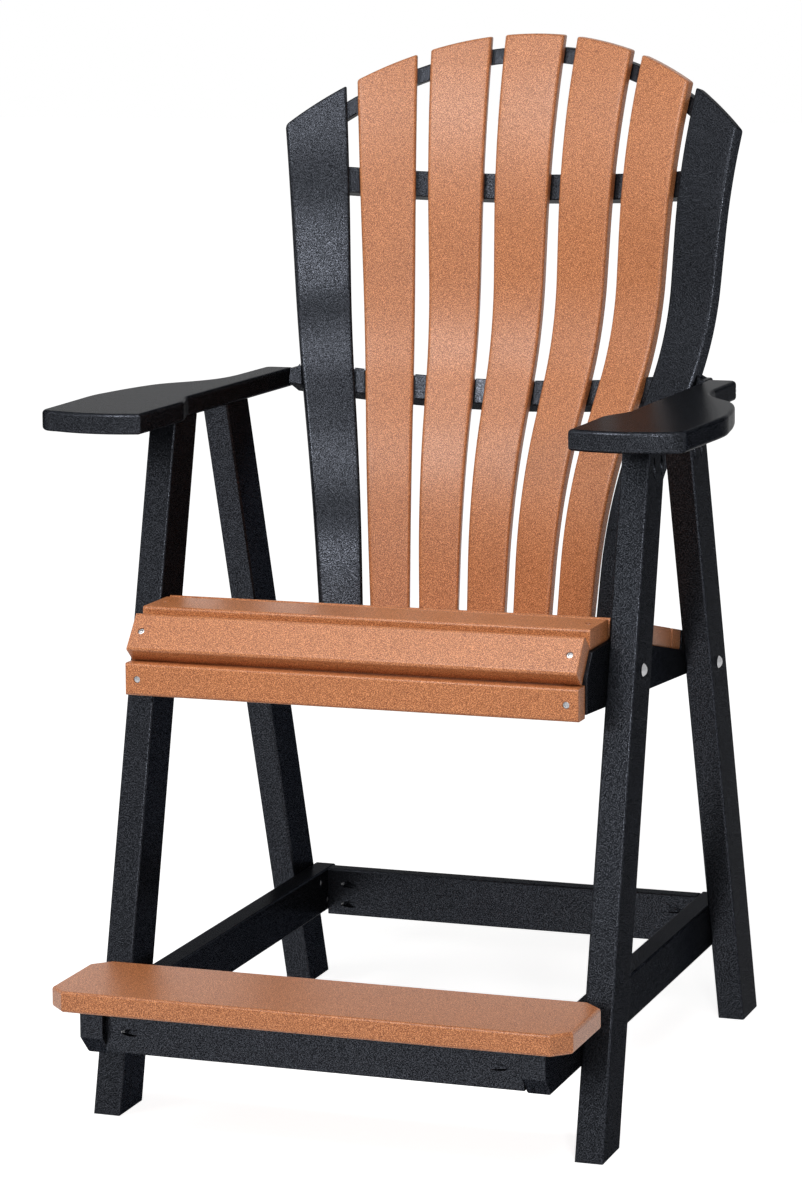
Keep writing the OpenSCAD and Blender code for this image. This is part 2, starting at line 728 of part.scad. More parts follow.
module nosing() {
    color(CEDAR) difference() {
        translate([0, nosing_y, nosing_z]) rotate([90 - nosing_tilt, 0, 0])
            translate([0, -nosing_depth, 0])
                across(slat_length) eased(nosing_depth, board, board_ease);
        both_sides() at_nosing_screw() screw_room(slat_screw);
    }
}

module seat_slat_1() {
    color(CEDAR) difference() {
        translate([0, -first_slat_at, level_under])
            across(slat_length) eased(first_slat_depth, board, board_ease);
        both_sides() at_level_screw() screw_room(slat_screw);
    }
}

module slope_slat(i) {
    color(CEDAR) difference() {
        on_seat() translate([0, i * slope_pitch, -board])
            across(slat_length) eased(slat_depth, board, board_ease);
        both_sides() at_slope_screws(i) screw_room(slope_screw);
    }
}
module seat_slat_2() { slope_slat(0); }
module seat_slat_3() { slope_slat(1); }
module seat_slat_4() { slope_slat(2); }

// Curve of the back on the seat's slope: the arc of the slats' front or rear faces at the seat.
function slope_arc(r) = let (d = (r - sqrt(r * r - back_side * back_side)) / cos(seat_slope))
    (back_side * back_side + d * d) / 2 / d;
seat_gap_back = 6;
face_shift = 4;
foot_radius = barrel_ahead + back_foot_at + face_shift;
rear_edge = along_slope(back_foot_at + face_shift - seat_gap_back);
rear_arc = slope_arc(foot_radius - seat_gap_back);
foot_notch = 2;
foot_edge = along_slope(back_foot_at + face_shift + back_board / cos(foot_lean) - foot_notch);
foot_arc = slope_arc(foot_radius + back_board);
back_foot_front = rear_slat_at + rear_end_depth + slat_gap;
foot_corner = 112.5;
foot_end_cut = 20;

module seat_slat_rear() {
    color(CEDAR) difference() {
        on_seat() intersection() {
            translate([0, rear_slat_at, -board])
                across(slat_length) eased(2 * slat_depth, board, board_ease);
            translate([0, 0, -board - skin]) union() {
                translate([0, rear_edge - rear_arc, 0])
                    cylinder(h = board + 2 * skin, r = rear_arc, $fn = 180);
                translate([-slat_length, 0, 0])
                    cube([2 * slat_length, rear_slat_at + rear_end_depth, board + 2 * skin]);
            }
        }
        both_sides() at_rear_screws() screw_room(slope_screw);
    }
}

module back_foot() {
    color(BLACK) difference() {
        on_seat() difference() {
            translate([0, 0, -board]) linear_extrude(board) let (x = slat_length / 2,
                a = foot_edge - foot_end_cut, b = foot_edge + back_foot_depth)
                polygon([[-x, back_foot_front], [x, back_foot_front], [x, a],
                    [x - foot_corner, b], [foot_corner - x, b], [-x, a]]);
            translate([0, foot_edge - foot_arc, -board - skin])
                cylinder(h = board + 2 * skin, r = foot_arc, $fn = 180);
        }
        for (k = [-3 : 3]) {
            slat_room(k, 0, foot_run + rail_room);
            at_toe_screws(k) screw_room(toe_screw);
        }
        both_sides() at_rear_screws() screw_room(slope_screw);
    }
}

// Back

// Room for slat k: everything in front of its rear face, and a little more, between two s.
module slat_room(k, lo, hi) {
    s = concat([lo], [for (i = stations) if (i > lo && i < hi) i], [hi]);
    rear = [for (i = s) behind(i, back_board + seat_ease)];
    front = [for (i = [len(s) - 1 : -1 : 0]) behind(s[i], -top_room)];
    fan(k) across(2 * (half_width(walk(hi)[1], k) + slat_side_play))
        polygon(concat(rear, front));
}

// Board of eased section drawn along the curved front face of the middle slat.
module slat_blank(k) {
    e = back_ease;
    q = [for (a = [0, 45, 90]) e * [1 - cos(a), 1 - sin(a)]];
    ring = concat([for (i = [0, 1, 2]) [1, q[i][0], q[i][1]]],
        [for (i = [2, 1, 0]) [-1, q[i][0], q[i][1]]],
        [for (i = [0, 1, 2]) [-1, q[i][0], back_board - q[i][1]]],
        [for (i = [2, 1, 0]) [1, q[i][0], back_board - q[i][1]]]);
    n = len(ring);
    m = len(stations);
    verts = [for (s = stations, c = ring) let (b = behind(s, c[2]))
        [c[0] * (half_width(walk(s)[1], k) - c[1]), b[0], b[1]]];
    sides = [for (j = [0 : m - 2], i = [0 : n - 1])
        [j * n + i, j * n + (i + 1) % n, (j + 1) * n + (i + 1) % n, (j + 1) * n + i]];
    caps = [[for (i = [n - 1 : -1 : 0]) i], [for (i = [0 : n - 1]) (m - 1) * n + i]];
    polyhedron(verts, concat(sides, caps), convexity = 6);
}

module back_slat(k) {
    color(abs(k) == 3 ? BLACK : CEDAR) difference() {
        intersection() {
            fan(k) slat_blank(k);
            translate([0, back_crown / 2, arch_z]) rotate([90, 0, 0])
                cylinder(h = back_crown, r = arch_radius, $fn = 240);
        }
        at_toe_screws(k) screw_room(toe_screw);
        at_rail_screws(k, s_arm[k + 3], rail_reach) screw_room(rail_screw);
        at_rail_screws(k, s_upper[k + 3], rail_reach) screw_room(rail_screw);
        at_arch_screw(k) screw_room(arch_screw);
    }
}
module back_slat_1() { back_slat(-3); }
module back_slat_2() { back_slat(-2); }
module back_slat_3() { back_slat(-1); }
module back_slat_4() { back_slat(0); }
module back_slat_5() { back_slat(1); }
module back_slat_6() { back_slat(2); }
module back_slat_7() { back_slat(3); }

// Curved rail on a tilted board: its concave front edge is notched for the slats.
function rail_edge(top, tilt, notch) = let (o = behind(s_at_height(top), back_board),
    m = behind(s_on_rail(0, top, tilt, -back_rail_height / 2), back_board))
    (m[0] - o[0]) * cos(tilt) - (m[1] - o[1]) * sin(tilt) - notch;
module curved_rail(top, tilt, radius, notch, half) {
    o = behind(s_at_height(top), back_board);
    edge = rail_edge(top, tilt, notch);
    translate([0, o[0], o[1]]) rotate([-tilt, 0, 0])
        translate([0, edge - radius, -back_rail_height]) intersection() {
            difference() {
                cylinder(h = back_rail_height, r = radius + back_rail_depth, $fn = 240);
                translate([0, 0, -skin])
                    cylinder(h = back_rail_height + 2 * skin, r = radius, $fn = 240);
            }
            translate([-half, 0, -skin])
                cube([2 * half, radius + back_rail_depth, back_rail_height + 2 * skin]);
        }
}

module arm_rail() {
    color(BLACK) difference() {
        curved_rail(arm_rail_top, arm_rail_tilt, arm_rail_radius, arm_rail_notch, arm_rail_half);
        for (k = [-3 : 3]) {
            slat_room(k, s_arm[k + 3] - rail_room, s_arm[k + 3] + rail_room);
            at_rail_screws(k, s_arm[k + 3], rail_reach) screw_room(rail_screw);
        }
        both_sides() at_tail_screw() screw_room(tail_screw);
        // The ends are trimmed flush with the tops of the arms.
        both_sides() rotate([90, 0, 0]) linear_extrude(back_crown, center = true)
            let (a = arm_rail_half - trim_run, b = a + back_rail_depth, c = a - trim_ramp,
                h = arm_top + 2 * back_rail_height)
            polygon([[a, arm_top], [b, arm_top], [b, h], [c, h], [c, arm_top + trim_rise]]);
    }
}

module upper_rail() {
    color(BLACK) difference() {
        curved_rail(upper_rail_top, upper_rail_tilt, upper_rail_radius, upper_rail_notch,
            upper_rail_half);
        for (k = [-3 : 3]) {
            slat_room(k, s_upper[k + 3] - rail_room, s_upper[k + 3] + rail_room);
            at_rail_screws(k, s_upper[k + 3], rail_reach) screw_room(rail_screw);
        }
    }
}

// Arched rail under the tops of the slats, turned about the barrel axis behind their profile.
function barrel_at(s, d) = let (b = behind(s, d), q = b - [-barrel_ahead, barrel_height])
    [q[0] * cos(barrel_lean) + q[1] * sin(barrel_lean),
     q[1] * cos(barrel_lean) - q[0] * sin(barrel_lean)];
arch_lo = s_arch[0] - arch_below;
arch_hi = s_arch[3] + arch_above;

module arch_rail() {
    s = concat([arch_lo], [for (i = stations) if (i > arch_lo && i < arch_hi) i], [arch_hi]);
    near = [for (i = s) barrel_at(i, back_board + arch_play)];
    far = [for (j = [len(s) - 1 : -1 : 0]) barrel_at(s[j], arch_far)];
    color(BLACK) difference() {
        intersection() {
            translate(barrel_point) rotate([barrel_lean, 0, 0])
                rotate_extrude($fn = 240) polygon(concat(near, far));
            translate([0, back_crown / 2, arch_z]) rotate([90, 0, 0]) difference() {
                cylinder(h = back_crown / 2, r = arch_radius - arch_rail_drop, $fn = 240);
                translate([0, 0, -skin]) cylinder(h = back_crown / 2 + 2 * skin,
                    r = arch_radius - arch_rail_drop - arch_rail_height, $fn = 240);
            }
            translate([-arch_rail_half, 0, arch_z])
                cube([2 * arch_rail_half, back_crown / 2, arch_radius]);
        }
        for (k = [-3 : 3]) {
            slat_room(k, arch_lo - rail_room, arch_hi + rail_room);
            at_arch_screw(k) screw_room(arch_screw);
        }
    }
}

module at_arch_screw(k) {
    on_slat(k, s_arch[k + 3] + arch_screw_up) translate([0, 0, arch_reach]) children();
}

// Fasteners, each group in one node

module seat_bolts() {
    color(STEEL) both_sides() at_bolts() {
        intersection() {
            translate([0, 0, bolt_dome - dome_radius]) sphere(dome_radius);
            cylinder(h = bolt_dome, d = bolt_head);
        }
        translate([0, 0, -bolt_long]) cylinder(h = bolt_long, d = bolt_shank);
    }
}

module seat_washers() {
    color(STEEL) both_sides() at_bolts()
        translate([0, 0, -leg_thickness - rail_board - washer_thick]) difference() {
            cylinder(h = washer_thick, d = washer_outer);
            translate([0, 0, -skin])
                cylinder(h = washer_thick + 2 * skin, d = bolt_shank + 2 * hole_clearance);
        }
}

module seat_nuts() {
    color(STEEL) both_sides() at_bolts()
        translate([0, 0, -leg_thickness - rail_board - washer_thick - nut_thick]) difference() {
            cylinder(h = nut_thick, d = nut_across / cos(30), $fn = 6);
            translate([0, 0, -skin])
                cylinder(h = nut_thick + 2 * skin, d = bolt_shank + 2 * nut_play);
        }
}

module apron_screws() { color(STEEL) both_sides() at_apron_screw() screw(slat_screw); }
module nosing_screws() { color(STEEL) both_sides() at_nosing_screw() screw(slat_screw); }

module seat_screws() {
    color(STEEL) both_sides() {
        at_level_screw() screw(slat_screw);
        for (i = [0 : 2]) at_slope_screws(i) screw(slope_screw);
        at_rear_screws() screw(slope_screw);
    }
}

module footrest_screws() { color(STEEL) both_sides() at_footrest_screws() screw(foot_screw); }
module stretcher_screws() { color(STEEL) both_sides() at_leg_screws() screw(leg_screw); }
module leg_pocket_screws() { color(STEEL) both_sides() at_leg_pockets() pocket_screw(); }
module cross_pocket_screws() { color(STEEL) both_sides() at_cross_pockets() pocket_screw(); }
module tail_screws() { color(STEEL) both_sides() at_tail_screw() screw(tail_screw); }

module toe_screws() {
    color(STEEL) for (k = [-3 : 3]) at_toe_screws(k) screw(toe_screw);
}

module arm_rail_screws() {
    color(STEEL) for (k = [-3 : 3]) at_rail_screws(k, s_arm[k + 3], rail_reach)
        screw(rail_screw);
}

module upper_rail_screws() {
    color(STEEL) for (k = [-3 : 3]) at_rail_screws(k, s_upper[k + 3], rail_reach)
        screw(rail_screw);
}

module arch_rail_screws() {
    color(STEEL) for (k = [-3 : 3]) at_arch_screw(k) screw(arch_screw);
}

// The pieces, each drawn by its own name

module place() {
    translate([0, centre_y, 0]) children();
}

place() leg_front_left();
place() leg_front_right();
place() leg_rear_left();
place() leg_rear_right();
place() arm_left();
place() arm_right();
place() stretcher_left();
place() stretcher_right();
place() rear_cross();
place() foot_cross();
place() footrest();
place() seat_rail_left();
place() seat_rail_right();
place() apron();
place() nosing();
place() seat_slat_1();
place() seat_slat_2();
place() seat_slat_3();
place() seat_slat_4();
place() seat_slat_rear();
place() back_foot();
place() back_slat_1();
place() back_slat_2();
place() back_slat_3();
place() back_slat_4();
place() back_slat_5();
place() back_slat_6();
place() back_slat_7();
place() arm_rail();
place() upper_rail();
place() arch_rail();
place() seat_bolts();
place() seat_washers();
place() seat_nuts();
place() apron_screws();
place() nosing_screws();
place() seat_screws();
place() footrest_screws();
place() stretcher_screws();
place() leg_pocket_screws();
place() cross_pocket_screws();
place() tail_screws();
place() toe_screws();
place() arm_rail_screws();
place() upper_rail_screws();
place() arch_rail_screws();
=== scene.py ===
# %% [markdown]
# # A tall garden chair in two colours of plastic lumber
# The real chair is bolted and screwed together from boards of coloured, foamed plastic that are
# cut, eased and drilled much like wood. Black boards make the frame and the outer slats of the
# fanned back. Cedar coloured boards make the seat, the footrest and the middle of the back.
#
# The solids of every piece are already packed in one fixed frame, in metres, with +X at the
# sitter's left, the front at -Y and +Z up. This file builds each board again, with its eased
# edges, holes and grain, exactly where its solid is.

# %%
import math
import bpy
import bmesh
from mathutils import Matrix, Vector


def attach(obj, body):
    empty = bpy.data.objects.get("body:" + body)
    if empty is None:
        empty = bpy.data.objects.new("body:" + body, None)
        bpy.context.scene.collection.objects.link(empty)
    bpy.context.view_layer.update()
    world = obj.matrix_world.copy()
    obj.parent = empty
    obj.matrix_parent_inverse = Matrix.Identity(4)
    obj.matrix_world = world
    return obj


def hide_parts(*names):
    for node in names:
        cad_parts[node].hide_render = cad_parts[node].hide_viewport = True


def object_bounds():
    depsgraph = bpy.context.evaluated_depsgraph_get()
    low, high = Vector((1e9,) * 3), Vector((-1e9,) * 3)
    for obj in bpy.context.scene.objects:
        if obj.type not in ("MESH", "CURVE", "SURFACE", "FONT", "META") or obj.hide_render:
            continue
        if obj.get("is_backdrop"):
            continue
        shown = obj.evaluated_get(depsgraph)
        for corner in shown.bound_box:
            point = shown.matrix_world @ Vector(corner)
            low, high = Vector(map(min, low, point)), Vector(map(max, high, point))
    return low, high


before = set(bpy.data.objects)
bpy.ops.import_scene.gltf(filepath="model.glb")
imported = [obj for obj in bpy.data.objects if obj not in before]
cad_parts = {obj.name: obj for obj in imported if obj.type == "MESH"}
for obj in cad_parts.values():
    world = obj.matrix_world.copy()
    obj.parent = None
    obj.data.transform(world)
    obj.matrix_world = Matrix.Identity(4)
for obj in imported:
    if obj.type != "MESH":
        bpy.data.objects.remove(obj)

cad_lo, cad_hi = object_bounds()
print("box of the solids in metres:", [round(v, 4) for v in (*cad_lo, *cad_hi)])

# %% [markdown]
# ## Numbers that several pieces share
# The drawing is in millimetres and is measured from the point midway between the front and
# rear feet. The frame is measured from the middle of the chair's box, so one shift along Y
# turns a drawing point into a frame point. The footrest's front edge is foremost in both.

# %%
MM = 0.001
FRONT_Y = -545.0
SHIFT_Y = cad_lo.y - FRONT_Y * MM


def spot(x, y, z):
    """A drawing point in millimetres as a frame point in metres."""
    return Vector((x * MM, y * MM + SHIFT_Y, z * MM))


def axes(origin, along, across):
    """Placing matrix: local X runs along a board, local Y across its face, Z out of the face."""
    x = Vector(along).normalized()
    y = Vector(across).normalized()
    z = x.cross(y)
    m = Matrix((x, y, z)).transposed().to_4x4()
    m.translation = spot(*origin)
    return m


def object_of(name, data):
    """New object in the scene."""
    obj = bpy.data.objects.new(name, data)
    bpy.context.scene.collection.objects.link(obj)
    return obj


def mesh_object(name, bm):
    """New object from a mesh under construction."""
    mesh = bpy.data.meshes.new(name)
    bm.to_mesh(mesh)
    bm.free()
    return object_of(name, mesh)


LEG_IN, LEG_OUT, RAIL_IN = 317.5, 355.6, 285.75
RAIL_THICK = LEG_IN - RAIL_IN
BOARD, EASE = 28.0, 4.5
ARM_TOP, SEAT_TOP = 940.0, 676.5
LEG_TOP = ARM_TOP - BOARD
SLOPE = math.radians(12)
SLOPE_Y, SLOPE_Z = -215.0, 677.1
print("shift along Y: %.2f mm" % (SHIFT_Y / MM))

# %% [markdown]
# ## The camera
# A camera was fitted to the chair's corners in the photograph. It stands about five metres in
# front, to the sitter's left, a little above the chair's top. A lens shift of a sixth of the
# picture's height keeps the uprights nearly parallel, as in the photograph. Focal length and
# shift are in pixels of the photograph.

# %%
CAMERA_AT = (1728.33, -4995.73, 1532.97)
CAMERA_TURN, CAMERA_DOWN, CAMERA_ROLL = 19.6173, 6.5033, -0.4198
PHOTO_HIGH, FOCAL, LENS_SHIFT = 1200, 3859.37, -200
SENSOR = 36


def make_camera():
    az, el, roll = (math.radians(a) for a in (CAMERA_TURN, CAMERA_DOWN, CAMERA_ROLL))
    fwd = Vector((-math.sin(az) * math.cos(el), math.cos(az) * math.cos(el), -math.sin(el)))
    right = Vector((math.cos(az), math.sin(az), 0))
    up = right.cross(fwd)
    r = math.cos(roll) * right + math.sin(roll) * up
    u = -math.sin(roll) * right + math.cos(roll) * up
    data = bpy.data.cameras.new("camera")
    data.sensor_width = SENSOR
    data.lens = FOCAL / PHOTO_HIGH * SENSOR
    data.shift_y = LENS_SHIFT / PHOTO_HIGH
    data.clip_end = 100
    cam = object_of("camera", data)
    m = Matrix((r, u, -fwd)).transposed().to_4x4()
    m.translation = spot(*CAMERA_AT)
    cam.matrix_world = m
    bpy.context.scene.camera = cam
    return cam


camera = make_camera()
print("camera at", [round(v, 3) for v in camera.location])

# %% [markdown]
# ## Floor, background and lamps
# The chair stands in a plain white studio. The floor takes the chair's shadow; for the camera
# and for reflections it also glows, a little less near the chair, so that it reads as white.
# A key lamp stands high in front and a broader one at the sitter's left, with a weaker one on
# the other side. Two stand low: the window lamp draws satin bands on the curved slats, and the
# long low lamp lights what faces forward.

# %%
MIDDLE = Vector((0, 0, 0.8))
WHITE = (1, 1, 1, 1)
ROOM_LIGHT = 0.08


def node_material(name):
    m = bpy.data.materials.new(name)
    m.use_nodes = True
    m.node_tree.nodes.clear()
    return m, m.node_tree.nodes


def node_of(nodes, kind, *first, **named):
    """New node. A name in small letters says what it does. The other values go to its inputs,
    the first ones by place and the rest by name; a node or an output is linked there."""
    node = nodes.new("ShaderNode" + kind)
    for name, value in [*named.items(), *enumerate(first)]:
        if isinstance(name, str) and name.islower():
            setattr(node, name, value)
            continue
        socket = node.inputs[name if isinstance(name, int) else name.replace("_", " ")]
        if isinstance(value, bpy.types.Node):
            value = value.outputs[0]
        if isinstance(value, bpy.types.NodeSocket):
            node.id_data.links.new(value, socket)
        else:
            socket.default_value = value
    return node


def seen_rays(nodes):
    """1 for rays from the camera, a mirror or glass, 0 for rays that carry diffuse light."""
    path = node_of(nodes, "LightPath")
    seen = path.outputs["Is Camera Ray"]
    for ray in ("Is Glossy Ray", "Is Transmission Ray"):
        seen = node_of(nodes, "Math", seen, path.outputs[ray], operation="MAXIMUM")
    return seen


def make_world():
    world = bpy.data.worlds.new("studio")
    bpy.context.scene.world = world
    world.use_nodes = True
    nodes = world.node_tree.nodes
    nodes.clear()
    dim, white = (node_of(nodes, "Background", Color=WHITE, Strength=strength)
                  for strength in (ROOM_LIGHT, 1.0))
    mix = node_of(nodes, "MixShader", seen_rays(nodes), dim, white)
    node_of(nodes, "OutputWorld", Surface=mix)


def make_floor():
    bm = bmesh.new()
    bmesh.ops.create_grid(bm, x_segments=8, y_segments=8, size=30)
    floor = mesh_object("floor", bm)
    m, nodes = node_material("studio floor")
    lit = node_of(nodes, "BsdfDiffuse", Color=(0.8, 0.8, 0.8, 1))
    where = node_of(nodes, "TexCoord")
    away = node_of(nodes, "VectorMath", where.outputs["Object"], operation="LENGTH")
    grow = node_of(nodes, "MapRange", Value=away.outputs["Value"], From_Min=0.9, From_Max=3.0,
                   To_Min=0.86, To_Max=1.0)
    both = node_of(nodes, "AddShader", lit, node_of(nodes, "Emission", Strength=grow))
    mix = node_of(nodes, "MixShader", seen_rays(nodes), lit, both)
    node_of(nodes, "OutputMaterial", Surface=mix)
    floor.data.materials.append(m)
    floor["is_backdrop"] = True


def soft_lamp(name, azimuth, elevation, distance, wide, high, power):
    """Soft rectangular lamp, aimed at the middle of the chair."""
    data = bpy.data.lights.new(name, "AREA")
    data.shape = "RECTANGLE"
    data.size, data.size_y = wide, high
    data.energy = power
    lamp = object_of(name, data)
    a, e = math.radians(azimuth), math.radians(elevation)
    back = Vector((math.sin(a) * math.cos(e), -math.cos(a) * math.cos(e), math.sin(e)))
    lamp.location = MIDDLE + back * distance
    lamp.rotation_mode = "QUATERNION"
    lamp.rotation_quaternion = (-back).to_track_quat("-Z", "Y")


make_world()
make_floor()
soft_lamp("key lamp", -13, 46, 2.8, 0.9, 0.8, 46)
soft_lamp("right lamp", 30, 46, 3.4, 1.2, 1.2, 24)
soft_lamp("left lamp", -48, 30, 4.0, 1.6, 1.6, 18)
soft_lamp("window lamp", 27, 11, 4.2, 0.4, 0.3, 30)
soft_lamp("low lamp", 6, 12, 4.2, 2.4, 0.25, 14)
bpy.context.scene.view_settings.view_transform = "Standard"

# %% [markdown]
# ## What plastic lumber looks like
# The boards are pressed with a fine grain: raised flecks about a millimetre in size, slightly
# longer along the board, with darker and lighter pigment. Colour, roughness and relief all
# follow one noise. It is turned askew of the faces, so that boards facing different ways look
# alike. Each board carries its own coordinates, called grain, with X along the board, so the
# flecks turn with a leaning leg and bend with a curved slat. Each is also shifted by its own
# amount, so that no two boards have the same flecks.
#
# Of a finish, fine is the number of flecks per metre, relief the strength of their bump and
# gloss that of a plain plastic's reflection. The black is partly lustrous instead, and its
# edge tint is dark, so that it doesn't mirror the white room at low angles.

# %%
GRAIN_SHIFT = (3.1, 1.7, 2.3)
GRAIN_STRETCH = (0.7, 1.0, 1.0)
GRAIN_ASKEW = (0.61, 0.47, 0.83)
ROUGH_SPREAD = 0.07
FLECK_HIGH = 0.18


def noise(nodes, vector, scale, detail):
    return node_of(nodes, "TexNoise", Vector=vector, Scale=scale, Detail=detail,
                   Roughness=0.55)


def ramp(nodes, factor, stops):
    r = node_of(nodes, "ValToRGB", factor)
    e = r.color_ramp.elements
    while len(e) < len(stops):
        e.new(0.5)
    for slot, (at, colour) in zip(e, stops):
        slot.position = at
        slot.color = (*colour, 1)
    return r


def lumber(name, dark, mid, light, rough, relief, gloss, fine, lustre=0.0, edge=1.0):
    m, nodes = node_material(name)
    at = node_of(nodes, "Attribute", attribute_type="GEOMETRY", attribute_name="grain")
    info = node_of(nodes, "ObjectInfo")
    far = node_of(nodes, "VectorMath", GRAIN_SHIFT, operation="SCALE",
                  Scale=info.outputs["Random"])
    own = node_of(nodes, "VectorMath", at.outputs["Vector"], far, operation="ADD")
    turned = node_of(nodes, "Mapping", own, Scale=GRAIN_STRETCH, Rotation=GRAIN_ASKEW)

    fleck = noise(nodes, turned, fine, 2)
    colour = ramp(nodes, fleck, [(0.36, dark), (0.49, mid), (0.64, light)])
    shade = ramp(nodes, noise(nodes, turned, 14, 3),
                 [(0.3, (0.97, 0.97, 0.97)), (0.7, (1.03, 1.03, 1.02))])
    tint = node_of(nodes, "Mix", data_type="RGBA", blend_type="MULTIPLY", Factor=1.0,
                   A=colour, B=shade)
    satin = node_of(nodes, "MapRange", fleck, From_Min=0.3, From_Max=0.7,
                    To_Min=rough + ROUGH_SPREAD, To_Max=rough - ROUGH_SPREAD)
    bump = node_of(nodes, "Bump", Strength=relief, Distance=FLECK_HIGH / fine, Height=fleck)
    skin = node_of(nodes, "BsdfPrincipled", Specular_IOR_Level=gloss, Metallic=lustre,
                   Specular_Tint=(edge, edge, edge, 1), Base_Color=tint.outputs["Result"],
                   Roughness=satin, Normal=bump)
    node_of(nodes, "OutputMaterial", Surface=skin)
    return m


BLACK = (lumber("black lumber", (0.003, 0.0035, 0.0045), (0.015, 0.016, 0.019),
                (0.062, 0.067, 0.080), rough=0.30, relief=0.45, gloss=0.0, fine=1050,
                lustre=0.80, edge=0.34), "black_lumber")
CEDAR = (lumber("cedar lumber", (0.16, 0.042, 0.012), (0.40, 0.130, 0.040),
                (0.76, 0.325, 0.140), rough=0.40, relief=0.70, gloss=0.46, fine=1000),
         "cedar_lumber")
print("finishes:", BLACK[0].name, "and", CEDAR[0].name)

# %% [markdown]
# ## Stainless fasteners
# Screws and bolts are plain stainless steel: a brushed grey metal with a little variation in
# roughness. The star-shaped recess is part of the shape.

# %%
def stainless():
    m, nodes = node_material("stainless steel")
    where = node_of(nodes, "TexCoord")
    haze = noise(nodes, where.outputs["Object"], 900, 2)
    rough = node_of(nodes, "MapRange", haze, To_Min=0.22, To_Max=0.42)
    tone = ramp(nodes, haze, [(0.3, (0.31, 0.31, 0.32)), (0.7, (0.43, 0.43, 0.44))])
    metal = node_of(nodes, "BsdfPrincipled", Metallic=1.0, Base_Color=tone, Roughness=rough)
    node_of(nodes, "OutputMaterial", Surface=metal)
    return m


STEEL = (stainless(), "fastener_steel")
print("fasteners:", STEEL[0].name)

# %% [markdown]
# ## A helper for flat boards
# A board is sawn to an outline, and then a router eases its rims. The helper takes the outline
# in the plane of the board and stacks rings of points on it: each ring is drawn in by as much
# as the eased edge is at that height. An edge can be given a share of the easing, because sawn
# ends are left nearly square. Sharp corners of the outline turn on a small arc.

# %%
SOFT_TURN = math.radians(24)
LEAST_ROUND = 0.12


def drawn_in(pts, shares, d, corner, steps=3):
    """Closed counter-clockwise outline, drawn in by d times each edge's share."""
    n = len(pts)
    ring = []
    for i in range(n):
        a, b, c = Vector(pts[i - 1]), Vector(pts[i]), Vector(pts[(i + 1) % n])
        u, v = (b - a).normalized(), (c - b).normalized()
        nu, nv = Vector((-u.y, u.x)), Vector((-v.y, v.x))
        du, dv = d * shares[i - 1], d * shares[i]
        cross = u.x * v.y - u.y * v.x
        turn = math.atan2(cross, u.dot(v))
        if abs(turn) < SOFT_TURN:
            ring.append(b + (nu * du + nv * dv) / 2 / math.cos(turn / 2) ** 2)
            continue
        side = 1 if turn > 0 else -1
        r = max(corner - d, LEAST_ROUND) if side > 0 else corner + d
        start = -nu * r * side
        centre = b + (v * du - u * dv) / cross - u * (r * math.tan(abs(turn) / 2)) - start
        for k in range(steps + 1):
            c, e = math.cos(k / steps * turn), math.sin(k / steps * turn)
            ring.append(centre + Vector((start.x * c - start.y * e, start.x * e + start.y * c)))
    return ring


def quarter(r, steps=5):
    """What a quarter round of radius r leaves, along and across, from its start to its end."""
    return [(r * (1 - math.sin(a)), r * (1 - math.cos(a)))
            for a in (math.pi / 2 * i / steps for i in range(steps + 1))]


def rim_levels(thick, ease, under):
    """Heights and insets of the rings that round the rims: under at the back, ease in front."""
    return quarter(under)[::-1] + [(thick - z, d) for z, d in quarter(ease)]


def mesh_of(name, verts, faces):
    mesh = bpy.data.meshes.new(name)
    mesh.from_pydata([tuple(v) for v in verts], [], faces)
    mesh.validate()
    return mesh


def ring_faces(n, m):
    """Walls between m stacked rings of n points."""
    return [(j * n + i, j * n + (i + 1) % n, (j + 1) * n + (i + 1) % n, (j + 1) * n + i)
            for j in range(m - 1) for i in range(n)]


def board(name, outline, thick, ease, at, shares=None, corner=1.2, under=None):
    """Eased board: outline and thickness in millimetres, in the board's own axes."""
    shares = shares or [1.0] * len(outline)
    levels = rim_levels(thick, ease, ease if under is None else under)
    verts = []
    for z, d in levels:
        ring = drawn_in(outline, shares, d, corner)
        verts += [(p.x * MM, p.y * MM, z * MM) for p in ring]
    n, m = len(ring), len(levels)
    caps = [tuple(range(n - 1, -1, -1)), tuple(range((m - 1) * n, m * n))]
    obj = object_of(name, mesh_of(name, verts, ring_faces(n, m) + caps))
    obj.matrix_world = at
    return obj


def long_board(half, width):
    """Outline of a board that reaches half its length to either side."""
    return [(-half, 0), (half, 0), (half, width), (-half, width)]


def flat_at(at, up):
    """Placing matrix of a board that lies across the chair."""
    return axes(at, (1, 0, 0), up)

# %% [markdown]
# ## Holes, and what every piece needs at the end
# Screw heads sit a millimetre below the surface, in a recess that a drill has left. The holes
# are cut with one set of round cutters per piece. After that a piece gets its grain
# coordinates, its finish and its smooth edges, it rides on the chair's one body, and it takes
# the place of its solid.

# %%
SHARP = math.radians(38)


def pointing(at, way):
    """Placing matrix at a drawing point, with local Z along a direction."""
    m = Vector((0, 0, 1)).rotation_difference(Vector(way).normalized()).to_matrix().to_4x4()
    m.translation = spot(*at)
    return m


def bores(places):
    """Round cutters in one object: (drawing point, direction, diameter, length)."""
    bm = bmesh.new()
    for point, way, wide, long in places:
        made = bmesh.ops.create_cone(bm, cap_ends=True, segments=32, radius1=wide / 2 * MM,
                                     radius2=wide / 2 * MM, depth=long * MM)
        m = pointing(point, way)
        m.translation = spot(*point) + Vector(way).normalized() * long / 2 * MM
        bmesh.ops.transform(bm, matrix=m, verts=made["verts"])
    return mesh_object("cutter", bm)


